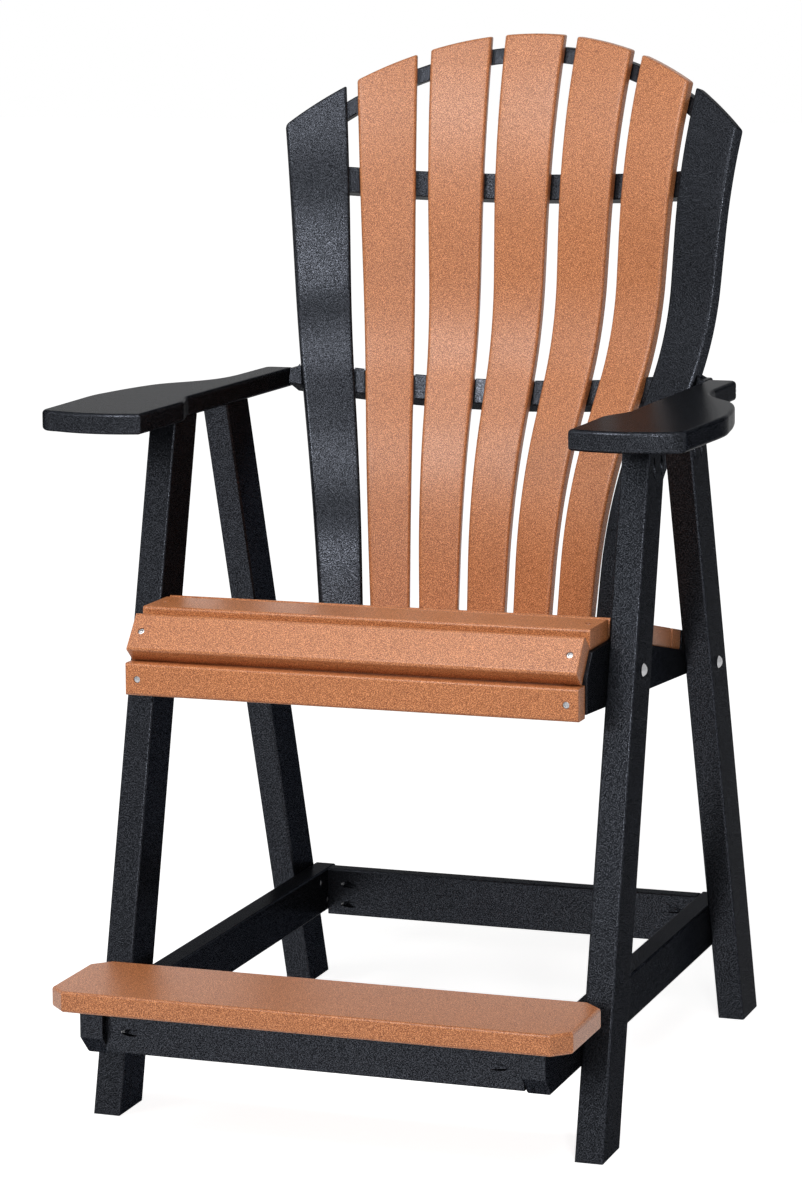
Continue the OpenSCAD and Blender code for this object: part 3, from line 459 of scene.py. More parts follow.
def cut(obj, cutter):
    mod = obj.modifiers.new("cut", "BOOLEAN")
    mod.operation = "DIFFERENCE"
    mod.solver = "EXACT"
    mod.object = cutter
    graph = bpy.context.evaluated_depsgraph_get()
    mesh = bpy.data.meshes.new_from_object(obj.evaluated_get(graph))
    obj.modifiers.clear()
    old = obj.data
    obj.data = mesh
    bpy.data.meshes.remove(old)
    bpy.data.objects.remove(cutter)


def dress(obj, finish, *nodes):
    """Grain coordinates, finish, shading, body and the solids that the piece stands for."""
    mesh, (material, slot) = obj.data, finish
    mesh.name = obj.name
    mesh.materials.clear()
    mesh.materials.append(material)
    if "grain" not in mesh.attributes:
        store = mesh.attributes.new("grain", "FLOAT_VECTOR", "POINT")
        store.data.foreach_set("vector", [c for v in mesh.vertices for c in v.co])
    bpy.context.view_layer.update()
    mesh.transform(obj.matrix_world)
    obj.matrix_world = Matrix.Identity(4)
    mesh.polygons.foreach_set("use_smooth", [True] * len(mesh.polygons))
    mesh.set_sharp_from_angle(angle=SHARP)
    even = obj.modifiers.new("even shading", "WEIGHTED_NORMAL")
    even.keep_sharp = True
    even.weight = 80
    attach(obj, "root")
    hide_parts(*nodes)
    return obj


PAIR = (("left", 1), ("right", -1))

# %% [markdown]
# ## The curve of the back
# Seven slats share one curve. Seen from the side it leans back gently at the foot, rolls back
# behind the sitter's waist, straightens, and rolls back again at the shoulders. Each slat is
# the middle one turned about an upright axis in front of the chair, so that together they
# form part of a barrel and cup the back. The curve is written once, as straight runs and arcs.

# %%
def slope_top(y):
    return SLOPE_Z - (y - SLOPE_Y) * math.tan(SLOPE)


BACK, CROWN, ARCH_R = 19.0, 1424.0, 515.0
ARCH_Z = CROWN - ARCH_R
FOOT_Y = 199.3
FOOT_Z = slope_top(212.0) - BOARD / math.cos(SLOPE) - 1.5
FOOT_GAP, TOP_GAP, OUTER_EXTRA = 13.7, 17.4, 5.6
SIDE_ROOM, ARM_LEVEL_R = 21.45, 596.0
FAN = math.asin((LEG_IN - SIDE_ROOM) / ARM_LEVEL_R) / 3.5
BARREL_Y, BARREL_Z = -266.5, 650.0
BARREL_LEAN = math.radians(2.19)
FOOT_R, TOP_R = FOOT_Y - BARREL_Y, 731.0
LOW_WIDE, TOP_WIDE = FOOT_R * FAN - FOOT_GAP, TOP_R * FAN - TOP_GAP
LONGEST = 1250
SLATS = range(-3, 4)
LEAN_FOOT, LEAN_WAIST, LEAN_UP, LEAN_TOP = (math.radians(a) for a in (8.1, 30.0, 5.8, 22.8))
CURVE = [(110.0, LEAN_FOOT),
         (560.0 * (LEAN_WAIST - LEAN_FOOT), LEAN_WAIST),
         (69.5, LEAN_WAIST),
         (370.0 * (LEAN_WAIST - LEAN_UP), LEAN_UP),
         (69.3, LEAN_UP),
         (840.0 * (LEAN_TOP - LEAN_UP), LEAN_TOP),
         (300.0, LEAN_TOP)]


def walk(s):
    """Front face of the middle slat at a distance s from its foot: y, z and lean."""
    y, z, a = FOOT_Y, FOOT_Z, LEAN_FOOT
    for run, b in CURVE:
        go = min(s, run)
        c = a + (b - a) * go / run
        if a == b:
            y, z = y + go * math.sin(b), z + go * math.cos(b)
        else:
            r = run / (b - a)
            y, z = y + r * (math.cos(a) - math.cos(c)), z + r * (math.sin(c) - math.sin(a))
        if s <= run:
            return y, z, c
        s, a = s - run, b
    return y, z, a


def behind(s, d):
    y, z, a = walk(s)
    return y + d * math.cos(a), z - d * math.sin(a)


def half_wide(z, k):
    wide = LOW_WIDE + (TOP_WIDE - LOW_WIDE) * (z - FOOT_Z) / (CROWN - FOOT_Z)
    return (wide + (OUTER_EXTRA if abs(k) == 3 else 0)) / 2


def fan(p, k):
    """A point of the middle slat, turned about the barrel's axis to slat k."""
    axis = Vector((0, BARREL_Y, BARREL_Z))
    q = Vector(p) - axis
    c, d = math.cos(BARREL_LEAN), math.sin(BARREL_LEAN)
    v, w = q.y * c + q.z * d, q.z * c - q.y * d
    t = -k * FAN
    x, y = q.x * math.cos(t) - v * math.sin(t), q.x * math.sin(t) + v * math.cos(t)
    return axis + Vector((x, y * c - w * d, y * d + w * c))


def solve(rises, lo, hi):
    """The value at which a rising function passes zero."""
    for _ in range(40):
        mid = (lo + hi) / 2
        lo, hi = (lo, mid) if rises(mid) > 0 else (mid, hi)
    return (lo + hi) / 2


def slat_spot(k, s, x, down, out):
    """Point x across, down and out from the rear face of slat k at s."""
    a, (y, z) = walk(s)[2], behind(s, BACK)
    return fan((x, y - down * math.sin(a) + out * math.cos(a),
                z - down * math.cos(a) - out * math.sin(a)), k)


def slat_way(k, s):
    """Direction out of the rear face of slat k at s."""
    return (slat_spot(k, s, 0, 0, 10) - slat_spot(k, s, 0, 0, 0)).normalized()


print("slats fan by %.2f degrees and widen from %.1f to %.1f mm"
      % (math.degrees(FAN), LOW_WIDE, TOP_WIDE))

# %% [markdown]
# ## Where the rails cross the slats
# Three curved rails run behind the slats: one level with the arms, one at the shoulders and an
# arched one just under the slats' tops. The height at which each crosses a slat is found here
# once, because the screws and the notches both need it.

# %%
UPPER_END_R, ARCH_END_R = 714.7, 747.1
ARM_RAIL = dict(top=921.3, tilt=math.radians(22), radius=640.0, notch=3.2, half=313.8)
UPPER_RAIL = dict(top=1219.4, tilt=math.radians(12.5), radius=690.0, notch=1.4,
                  half=UPPER_END_R * math.sin(3 * FAN))
RAIL_HIGH = RAIL_DEEP = 38.0
ARCH_DROP, ARCH_HIGH, ARCH_DEEP = 19.0, 23.0, 26.0
ARCH_HALF = ARCH_END_R * math.sin(3 * FAN)
ARCH_MID = ARCH_R - ARCH_DROP - ARCH_HIGH / 2


def rail_corner(rail):
    """Point on the rear face of the middle slat at the height of a rail's top."""
    s = solve(lambda s: behind(s, BACK)[1] - rail["top"], 0, LONGEST)
    return behind(s, BACK)


def over_rail(rail, k, s):
    p, o = fan((0, *behind(s, BACK)), k), rail["corner"]
    return (p.y - o[0]) * math.sin(rail["tilt"]) + (p.z - o[1]) * math.cos(rail["tilt"])


def over_arch(k, s):
    p = fan((0, *behind(s, BACK)), k)
    return math.hypot(p.x, p.z - ARCH_Z) - ARCH_MID


for rail in (ARM_RAIL, UPPER_RAIL):
    rail["corner"] = rail_corner(rail)
    rail["s"] = {k: solve(lambda s: over_rail(rail, k, s) + RAIL_HIGH / 2, 0, LONGEST)
                 for k in SLATS}
ARCH_S = {k: solve(lambda s: over_arch(k, s), 500, LONGEST) for k in SLATS}
print("crossings of the middle slat: %.0f, %.0f and %.0f mm up it"
      % (ARM_RAIL["s"][0], UPPER_RAIL["s"][0], ARCH_S[0]))


def rail_front(rail):
    """Where the concave edge of a rail's board lies, measured from its corner."""
    o, t = rail["corner"], rail["tilt"]
    m = behind(rail["s"][0], BACK)
    return (m[0] - o[0]) * math.cos(t) - (m[1] - o[1]) * math.sin(t) - rail["notch"]


def rail_end_y(rail):
    """Y of the middle line of a rail where it ends."""
    reach = math.sqrt((rail["radius"] + RAIL_DEEP / 2) ** 2 - rail["half"] ** 2)
    return (rail["corner"][0] + (rail_front(rail) - rail["radius"] + reach)
            * math.cos(rail["tilt"]) - RAIL_HIGH / 2 * math.sin(rail["tilt"]))


# %% [markdown]
# ## Where the screws go
# Every screw is a point under its head and the direction that the head faces. The same list
# drills the recesses in the boards and places the screws in them. A second table has the
# length of each kind.

# %%
LEG_WIDE, LEG_THICK = 76.2, 38.1
FOOT = 398.0
LEANS = {"front": math.radians(13.87), "rear": math.radians(18.42)}
SINK = 4.0
LINE = LEG_IN - 20.0
LEVEL_UNDER = SEAT_TOP - BOARD
NOSE_TILT, NOSE_DEEP = math.radians(40), 57.0
NOSE_RISE = 5.3
NOSE_Y, NOSE_Z = -307.3, LEVEL_UNDER + NOSE_RISE
APRON_TOP = NOSE_Z - NOSE_DEEP * math.cos(NOSE_TILT) - 0.8
APRON_HIGH, APRON_FRONT = 43.8, 364.0
LEVEL_Y, LEVEL_DEEP = -306, 84
PITCH, SLAT_DEEP = 103.5, 97.5
REAR_AT, REAR_DEEP, BACK_SCREW = 3 * PITCH, 43.0, 77
REAR_CROSS, FOOT_CROSS, CROSS_THICK = 312, -507, 25.4
CROSS_POCKETS = ((REAR_CROSS, 156.5), (REAR_CROSS, 126.5), (FOOT_CROSS, 149.5))
LEG_POCKET_X, LEG_POCKET_DROP, LEG_POCKET_PAIR = 339.6, 22, 17
POCKET_TILT, POCKET_DEEP = math.radians(20), 21
LEG_SCREW_Z, LEG_SCREW_SIDE, REAR_SHIFT = (132.0, 163.5), 14, 6
REST_PITCH, REST_SCREW_Z = 70.0, 140.0
TAIL_X, TAIL_Y = 358.0, rail_end_y(ARM_RAIL) - 11.3
TOE_UP, RAIL_PAIR, RAIL_HEAD, ARCH_HEAD = 17, 7, 30, 18
LENGTHS = {"leg_pocket_screws": 39, "cross_pocket_screws": 39, "stretcher_screws": 54,
           "footrest_screws": 60, "tail_screws": 50, "apron_screws": 55, "nosing_screws": 55,
           "seat_screws": 40, "toe_screws": 46, "arm_rail_screws": 42,
           "upper_rail_screws": 42, "arch_rail_screws": 30}


def leg_y(end, z):
    """Y of a leg's middle line at a height."""
    a = LEANS[end]
    y = FOOT - z * math.tan(a) - LEG_WIDE / 2 / math.cos(a)
    return -y if end == "front" else y


def on_seat(x, v, w):
    """A point of the sloping seat: v back along the slope and w out of its top."""
    c, s = math.cos(SLOPE), math.sin(SLOPE)
    return Vector((x, SLOPE_Y + v * c + w * s, SLOPE_Z - v * s + w * c))


def on_nose(x, v, w):
    """A point of the tilted front board: v down its face from the top, w out of the face."""
    c, s = math.cos(NOSE_TILT), math.sin(NOSE_TILT)
    return Vector((x, NOSE_Y - v * s - w * c, NOSE_Z - v * c + w * s))


def screw_places():
    up, seat = Vector((0, 0, 1)), Vector((0, math.sin(SLOPE), math.cos(SLOPE)))
    out = {name: [] for name in LENGTHS}

    def add(name, at, way):
        out[name].append((Vector(at), Vector(way)))

    for m in (1, -1):
        side = Vector((m, 0, 0))
        way = Vector((m * math.sin(POCKET_TILT), 0, -math.cos(POCKET_TILT)))
        for end in ("front", "rear"):
            for d in (-1, 1):
                y = leg_y(end, LEG_TOP - LEG_POCKET_DROP) + d * LEG_POCKET_PAIR
                mouth = Vector((m * LEG_POCKET_X, y, LEG_TOP))
                add("leg_pocket_screws", mouth + way * POCKET_DEEP, way)
        for i, end in enumerate(("front", "rear")):
            for d in (-1, 1):
                y = leg_y(end, LEG_SCREW_Z[i]) - REAR_SHIFT * i + d * LEG_SCREW_SIDE
                z = LEG_SCREW_Z[0 if d > 0 else 1]
                add("stretcher_screws", (m * (RAIL_IN + SINK), y, z), -side)
        way = Vector((-m * math.cos(POCKET_TILT), -math.sin(POCKET_TILT), 0))
        for y, z in CROSS_POCKETS:
            mouth = Vector((m * RAIL_IN, y + CROSS_THICK / 2, z))
            add("cross_pocket_screws", mouth + way * POCKET_DEEP, way)
        for i in (1, 2):
            add("footrest_screws", (m * LINE, REST_PITCH * i + FRONT_Y, REST_SCREW_Z), -up)
        add("tail_screws", (m * (TAIL_X - SINK), TAIL_Y, ARM_TOP - BOARD / 2), side)
        at = (m * LINE, SINK - APRON_FRONT, APRON_TOP - APRON_HIGH / 2)
        add("apron_screws", at, (0, -1, 0))
        nose = (on_nose(0, 0, 1) - on_nose(0, 0, 0)).normalized()
        add("nosing_screws", on_nose(m * LINE, NOSE_DEEP / 2, BOARD - SINK), nose)
        add("seat_screws", (m * LINE, LEVEL_Y + LEVEL_DEEP / 2, SEAT_TOP - SINK), up)
        runs = [i * PITCH + SLAT_DEEP * d for i in range(3) for d in (0.25, 0.75)]
        for v in runs + [REAR_AT + REAR_DEEP / 2, REAR_AT + BACK_SCREW]:
            add("seat_screws", on_seat(m * LINE, v, -SINK), seat)
    for k in SLATS:
        for d in (-1, 1):
            add("toe_screws", slat_spot(k, TOE_UP, d * 0.2 * LOW_WIDE, 0, SINK - BACK),
                -slat_way(k, TOE_UP))
            for name, rail in (("arm_rail_screws", ARM_RAIL), ("upper_rail_screws", UPPER_RAIL)):
                s = rail["s"][k]
                add(name, slat_spot(k, s, 0, d * RAIL_PAIR, RAIL_HEAD), slat_way(k, s))
        s = ARCH_S[k] + 5
        add("arch_rail_screws", slat_spot(k, s, 0, 0, ARCH_HEAD), slat_way(k, s))
    return out


SCREWS = screw_places()
POCKET = dict(wide=9.5, long=60)


def drill(obj, *names, near=None, wide=9.4, long=30):
    """Round recesses in a board over the heads of these screws, those that a test keeps."""
    cut(obj, bores([(p, w, wide, long) for name in names for p, w in SCREWS[name]
                    if near is None or near(p)]))


print(sum(len(v) for v in SCREWS.values()), "screws in", len(SCREWS), "groups")

# %% [markdown]
# ## Legs
# Each leg is a straight board that leans along the chair and is cut level at the floor and
# under the arm. Its rims are routed, but the two sawn ends stay nearly square. Near the top of
# the outer face, two slanted pockets take the screws that hold the arm.

# %%
def leg(end, name, side):
    a = LEANS[end] if end == "front" else -LEANS[end]
    edge = -FOOT if end == "front" else FOOT - LEG_WIDE / math.cos(a)
    long, slip = LEG_TOP / math.cos(a), LEG_WIDE * math.tan(a)
    outline = [(0, 0), (long, 0), (long + slip, LEG_WIDE), (slip, LEG_WIDE)]
    up, back = (0, math.sin(a), math.cos(a)), (0, math.cos(a), -math.sin(a))
    at = axes((LEG_OUT if side > 0 else -LEG_IN, edge, 0), up, back)
    obj = board("leg_%s_%s_board" % (end, name), outline, LEG_THICK, 3.0, at,
                shares=[1.0, 0.12, 1.0, 0.12], corner=1.0)
    middle = leg_y(end, LEG_TOP)
    drill(obj, "leg_pocket_screws", **POCKET,
          near=lambda p: p.x * side > 0 and abs(p.y - middle) < 60)
    dress(obj, BLACK, "leg_%s_%s" % (end, name))


for end in ("front", "rear"):
    for name, side in PAIR:
        leg(end, name, side)
print("four legs, %.1f mm thick" % LEG_THICK)

# %% [markdown]
# ## Stretchers and footrest
# On each side a board on edge joins the two legs low down and runs forward past the front one.
# There the two carry the footrest, with their lower front corners cut off at 45 degrees. A
# cross board ties them at the rear, and a second one hides under the footrest; both are held
# by screws in slanted pockets, whose long mouths show on their front faces. The footrest is
# one wide cedar board with all four corners cut off.

# %%
BAR_FRONT, BAR_BACK, BAR_LOW, BAR_HIGH = -520, 345, 116, 179.5
BAR_CLIP = 25.4
REST_HALF, REST_DEEP, REST_CLIP = 355, 165, 23


def on_edge(side):
    """Placing matrix of a board that stands on edge against a leg's inner face."""
    return axes((RAIL_IN if side > 0 else -LEG_IN, 0, 0), (0, 1, 0), (0, 0, 1))


def stretcher(name, side):
    outline = [(BAR_FRONT + BAR_CLIP, BAR_LOW), (BAR_BACK, BAR_LOW), (BAR_BACK, BAR_HIGH),
               (BAR_FRONT, BAR_HIGH), (BAR_FRONT, BAR_LOW + BAR_CLIP)]
    obj = board("stretcher_%s_board" % name, outline, RAIL_THICK, 3.0, on_edge(side),
                shares=[1.0, 0.15, 1.0, 0.4, 0.4], corner=1.0)
    drill(obj, "stretcher_screws", "footrest_screws", near=lambda p: p.x * side > 0)
    dress(obj, BLACK, "stretcher_%s" % name)


def cross_board(name, front, low, high):
    at = flat_at((0, front + CROSS_THICK, low), (0, 0, 1))
    obj = board(name + "_board", long_board(RAIL_IN, high), CROSS_THICK, 3.0, at,
                shares=[1.0, 0.05, 1.0, 0.05], corner=0.6)
    drill(obj, "cross_pocket_screws", **POCKET, near=lambda p: abs(p.y - front) < 60)
    dress(obj, BLACK, name)


for name, side in PAIR:
    stretcher(name, side)
cross_board("rear_cross", REAR_CROSS, 109.5, 70)
cross_board("foot_cross", FOOT_CROSS, 121, 58.5)

w, d, c = REST_HALF, REST_DEEP, REST_CLIP
footrest_outline = [(-w, c), (c - w, 0), (w - c, 0), (w, c), (w, d - c), (w - c, d),
                    (c - w, d), (-w, d - c)]
footrest = board("footrest_board", footrest_outline, BOARD, EASE,
                 flat_at((0, FRONT_Y, BAR_HIGH), (0, 1, 0)), corner=2.0)
dress(footrest, CEDAR, "footrest")
print("footrest %d mm wide" % (2 * REST_HALF))

# %% [markdown]
# ## Seat rails
# A rail on each side carries the seat. It is bolted to the inner faces of the legs, and its
# upper edge is cut to the seat's shape: slanted for the front board, level for the first slat
# and then sloping down to the back.

# %%
RAIL_BEND = SLOPE_Y + (SLOPE_Z - BOARD / math.cos(SLOPE) - LEVEL_UNDER) / math.tan(SLOPE)
BOLT_Z = {"front": 609.0, "rear": 553.0}
RAIL_END = leg_y("rear", BOLT_Z["rear"]) + 41.3
APRON_BACK = APRON_FRONT - BOARD
UNDER_MID, UNDER_LEAN = 548.5, math.radians(3.78)


def rail_under(y):
    return UNDER_MID - y * math.tan(UNDER_LEAN)


def seat_rail(name, side):
    outline = [(-APRON_BACK, rail_under(-APRON_BACK)),
               (RAIL_END, rail_under(RAIL_END)),
               (RAIL_END, slope_top(RAIL_END) - BOARD / math.cos(SLOPE)),
               (RAIL_BEND, LEVEL_UNDER),
               (NOSE_Y - NOSE_RISE * math.tan(NOSE_TILT), LEVEL_UNDER),
               (-APRON_BACK, NOSE_Z - (NOSE_Y + APRON_BACK) / math.tan(NOSE_TILT))]
    obj = board("seat_rail_%s_board" % name, outline, RAIL_THICK, 2.0, on_edge(side),
                shares=[1.0, 0.2, 0.1, 0.1, 0.1, 0.1], corner=0.6)
    dress(obj, BLACK, "seat_rail_%s" % name)


for name, side in PAIR:
    seat_rail(name, side)
print("seat rails %.2f mm thick" % RAIL_THICK)

# %% [markdown]
# ## Seat boards
# An upright apron closes the front. Above it, a board tilted at 40 degrees makes a soft edge
# under the knees. One level slat follows, then three sloping ones, and a wide last board. The
# routed rims are generous, about 4.5 mm.

# %%
SEAT_HALF = LEG_IN - 5.0


def seat_board(name, at, half, deep, screws, near=None, under=EASE):
    obj = board(name + "_board", long_board(half, deep), BOARD, EASE, at,
                shares=[1.0, 0.3, 1.0, 0.3], under=under)
    drill(obj, screws, near=near)
    dress(obj, CEDAR, name)


seat_board("apron", flat_at((0, -APRON_FRONT + BOARD, APRON_TOP - APRON_HIGH), (0, 0, 1)),
           LEG_IN - 3.0, APRON_HIGH, "apron_screws", under=0.8)
nose_up = on_nose(0, 0, 0) - on_nose(0, 1, 0)
seat_board("nosing", flat_at(on_nose(0, NOSE_DEEP, 0), nose_up), SEAT_HALF, NOSE_DEEP,
           "nosing_screws", under=0.8)
seat_board("seat_slat_1", flat_at((0, LEVEL_Y, LEVEL_UNDER), (0, 1, 0)),
           SEAT_HALF, LEVEL_DEEP, "seat_screws", near=lambda p: p.y < SLOPE_Y)
seat_back = on_seat(0, 1, 0) - on_seat(0, 0, 0)
for i in range(3):
    lo, hi = on_seat(0, i * PITCH, 0).y, on_seat(0, i * PITCH + SLAT_DEEP, 0).y
    seat_board("seat_slat_%d" % (i + 2), flat_at(on_seat(0, i * PITCH, -BOARD), seat_back),
               SEAT_HALF, SLAT_DEEP, "seat_screws", near=lambda p: lo < p.y < hi)
print("seat boards %.0f mm long" % (2 * SEAT_HALF))

# %% [markdown]
# ## Last seat board and the board behind the slats' feet
# The last seat board is sawn to an arc along its rear edge, to follow the feet of the back
# slats. Behind the slats lies a black board with the same curve; the slats' feet are seated in
# shallow notches in it and screwed from the front. The notches are cut with the slats' own
# shape, made by sweeping the front curve from a little behind the slat to well in front of it.

# %%
CHORD_HALF = 242.0
FACE_SHIFT, SEAT_GAP, NOTCH = 4, 6, 2
FOOT_DEEP, END_CUT, CORNER_CUT = 57, 20, 112.5


def slope_arc(r):
    """Radius that an upright barrel's arc has in the plane of the sloping seat."""
    d = (r - math.sqrt(r * r - CHORD_HALF ** 2)) / math.cos(SLOPE)
    return (CHORD_HALF ** 2 + d * d) / 2 / d


def arc_line(radius, centre, half, steps):
    """Points of an arc from -half to half across, its middle furthest back."""
    a = math.asin(half / radius)
    turns = [a * (2 * i / steps - 1) for i in range(steps + 1)]
    return [(radius * math.sin(t), centre + radius * math.cos(t)) for t in turns]


def foot_curve(radius, edge, ends):
    """Arc in a seat board's outline: its middle lies at edge and its ends lie at ends."""
    half = math.sqrt(radius ** 2 - (ends - edge + radius) ** 2)
    return arc_line(radius, edge - radius, half, 36)


def outward(name, mesh):
    """Object of a closed mesh, with all its faces turned outwards."""
    bm = bmesh.new()
    bm.from_mesh(mesh)
    bmesh.ops.recalc_face_normals(bm, faces=bm.faces)
    bm.to_mesh(mesh)
    bm.free()
    return object_of(name, mesh)


def prism(verts):
    """Closed cutter from one loop of points and an equal second one after it."""
    n = len(verts) // 2
    faces = [tuple(range(n)), tuple(range(2 * n - 1, n - 1, -1))]
    faces += [(i, n + i, n + (i + 1) % n, (i + 1) % n) for i in range(n)]
    return outward("cutter", mesh_of("cutter", verts, faces))


def slat_cutter(k, lo, hi):
    steps = 16
    half = half_wide(walk(hi)[1], k) + 1.0
    runs = [lo + (hi - lo) * i / steps for i in range(steps + 1)]
    loop = [behind(s, BACK + 0.15) for s in runs] + [behind(s, -40) for s in reversed(runs)]
    return prism([spot(*fan((x, y, z), k)) for x in (-half, half) for y, z in loop])


REAR_ENDS = REAR_AT + REAR_DEEP
rear_edge = (FOOT_Y + FACE_SHIFT - SEAT_GAP - SLOPE_Y) / math.cos(SLOPE)
rear_arc = foot_curve(slope_arc(FOOT_R + FACE_SHIFT - SEAT_GAP), rear_edge, REAR_ENDS)
rear_outline = [(-SEAT_HALF, REAR_AT), (SEAT_HALF, REAR_AT), (SEAT_HALF, REAR_ENDS),
                *rear_arc[::-1], (-SEAT_HALF, REAR_ENDS)]
on_slope = flat_at(on_seat(0, 0, -BOARD), seat_back)
rear_slat = board("seat_slat_rear_board", rear_outline, BOARD, EASE, on_slope,
                  shares=[1.0, 0.3] + [1.0] * (len(rear_arc) + 1) + [0.3])
drill(rear_slat, "seat_screws", near=lambda p: p.y > on_seat(0, REAR_AT, 0).y)
dress(rear_slat, CEDAR, "seat_slat_rear")

foot_front = REAR_ENDS + SEAT_GAP
foot_edge = FOOT_Y + FACE_SHIFT + BACK / math.cos(LEAN_FOOT) - NOTCH
foot_edge = (foot_edge - SLOPE_Y) / math.cos(SLOPE)
foot_arc = foot_curve(slope_arc(FOOT_R + FACE_SHIFT + BACK), foot_edge, foot_front)
foot_back, foot_end, foot_half = foot_edge + FOOT_DEEP, foot_edge - END_CUT, SEAT_HALF - CORNER_CUT
foot_outline = [(-SEAT_HALF, foot_front), *foot_arc, (SEAT_HALF, foot_front),
                (SEAT_HALF, foot_end), (foot_half, foot_back), (-foot_half, foot_back),
                (-SEAT_HALF, foot_end)]
back_foot = board("back_foot_board", foot_outline, BOARD, 1.2, on_slope, corner=0.8)
for k in SLATS:
    cut(back_foot, slat_cutter(k, -2, 170))
drill(back_foot, "seat_screws", near=lambda p: p.y > on_seat(0, foot_front, 0).y)
dress(back_foot, BLACK, "back_foot")
print("last seat board and back board, with seven notches")

# %% [markdown]
# ## Arms
# The arms are wide paddles: they bow out beside the sitter, narrow towards the back in one long
# curve and end in a small tail beside the back. The outline is a smooth curve through a few
# points, and the edges are eased more than anywhere else, about 5.5 mm, for the hand.

# %%
def smooth(points, steps):
    """Smooth curve through points, with the given number of steps between two of them."""
    out = []
    more = [points[0], *points, points[-1]]
    for four in zip(more, more[1:], more[2:], more[3:]):
        for t in (j / steps for j in range(steps)):
            out.append(tuple((2 * b + (c - a) * t + (2 * a - 5 * b + 4 * c - d) * t * t
                              + (3 * b - a - 3 * c + d) * t ** 3) / 2
                             for a, b, c, d in zip(*four)))
    return out + [points[-1]]


def round_turn(x, y, r, a, b, steps):
    turns = [math.radians(a + (b - a) * i / steps) for i in range(steps + 1)]
    return [(x + r * math.cos(t), y + r * math.sin(t)) for t in turns]


def arm_outline():
    wide, nose, turn, end = 452.0, 446.0, 25, TAIL_Y + 9
    front = [(295 + (nose - turn - 295) * t, -345 - 13 * (1 - (2 * t - 1) ** 2))
             for t in (i / 16 for i in range(16))]
    outer = smooth([(446, -318), (449, -240), (452, -157), (447, -112), (439, -64), (427, -15),
                    (414, 14), (383, 56), (364, 98), (TAIL_X, 144)], 8)
    inner = [(314 - 19 * (1 - math.cos(math.pi * t)) / 2, -128 - 77 * t)
             for t in (i / 16 for i in range(17))]
    return (front + round_turn(nose - turn, -320, turn, -90, -8, 12)
            + [(min(x, wide - 0.02), y) for x, y in outer]
            + round_turn(TAIL_X - 12, end - 12, 12, 0, 90, 8) + [(314, end)] + inner)


def arm(name, side):
    outline = [(y, -x * side) for x, y in arm_outline()]
    if side < 0:
        outline.reverse()
    at = axes((0, 0, LEG_TOP), (0, 1, 0), (-1, 0, 0))
    obj = board("arm_%s_board" % name, outline, BOARD, 5.5, at, corner=2.5)
    drill(obj, "tail_screws", near=lambda p: p.x * side > 0)
    dress(obj, BLACK, "arm_%s" % name)


for name, side in PAIR:
    arm(name, side)
print("arms with %d points round their outline" % len(arm_outline()))

# %% [markdown]
# ## Back slats
# Each slat is a 19 mm board that widens upwards. A rounded section is swept up the curve of the
# back: each point of the section follows its own line, and each line ends on the arch, so the
# top has the arch's shape and a small round of its own.

# %%
def slat_ring(half, inset, ease=5.0):
    """Points (x, depth) round a slat's section: along the front, then back along the rear."""
    h, r = half - inset, max(ease - inset, 0.4)
    left = [(q - h, inset + p) for p, q in quarter(r)]
    flat = [(-(h - r) * (1 - 2 * i / 10), inset) for i in range(1, 10)]
    front = left + flat + [(-x, d) for x, d in reversed(left)]
    return front + [(x, BACK - d) for x, d in reversed(front)]


def top_of(k, x, d):
    """How far up slat k the line at x and d reaches before it meets the arch."""
    def over(s):
        p = fan((x, *behind(s, d)), k)
        return math.hypot(p.x, p.z - ARCH_Z) - ARCH_R + 0.2
    return solve(over, 700, LONGEST)


def slat_lines(k):
    """Points (x, s, depth) of each section of slat k, from its foot to its rounded top."""
    crown = 3.0
    wide_top = half_wide(walk(top_of(k, 0, 0))[1], k)
    ends = [top_of(k, x, d) for x, d in slat_ring(wide_top, 0)]
    mean = sum(ends) / len(ends)
    shares = [i / 110 for i in range(1, 110) if i / 110 * mean < min(ends) - 2 * crown]
    rows = []
    for share, inset in [(0.0, 0.6), (0.0006, 0.0)] + [(s, 0.0) for s in shares]:
        half = half_wide(walk(share * mean)[1], k)
        rows.append([(x, share * end, d) for (x, d), end in zip(slat_ring(half, inset), ends)])
    for drop, inset in quarter(crown):
        rows.append([(x, top_of(k, x, d) - drop, d) for x, d in slat_ring(wide_top, inset)])
    return rows


def swept(name, verts, grain, faces):
    """Mesh object with its own grain coordinates and its faces turned outwards."""
    mesh = mesh_of(name, verts, faces)
    store = mesh.attributes.new("grain", "FLOAT_VECTOR", "POINT")
    store.data.foreach_set("vector", [c * MM for g in grain for c in g])
    return outward(name, mesh)


def back_slat(k):
    rows = slat_lines(k)
    points = [point for row in rows for point in row]
    verts = [spot(*fan((x, *behind(s, d)), k)) for x, s, d in points]
    grain = [(s, x, d) for x, s, d in points]
    n, m = len(rows[0]), len(rows)
    faces = ring_faces(n, m)
    for base in (0, (m - 1) * n):
        faces += [(base + i, base + i + 1, base + n - 2 - i, base + n - 1 - i)
                  for i in range(n // 2 - 1)]
    name = "back_slat_%d" % (k + 4)
    obj = swept(name + "_board", verts, grain, faces)
    toe = slat_spot(k, TOE_UP, 0, 0, -BACK / 2)
    drill(obj, "toe_screws", near=lambda p: (p - toe).length < 40)
    return dress(obj, BLACK if abs(k) == 3 else CEDAR, name)


for k in SLATS:
    slat = back_slat(k)
    print(slat.name, len(slat.data.vertices), "points")

# %% [markdown]
# ## Curved rails behind the slats
# The two lower rails are cut from a flat board: both edges are arcs, and the board is tilted to
# stand square to the slats. Their front edges have shallow notches that seat each slat. The
# lowest one joins the arms, where its ends are trimmed flush with them. The top rail is
# arched: it keeps 19 mm below the slats' tops and bends with the barrel of the back.

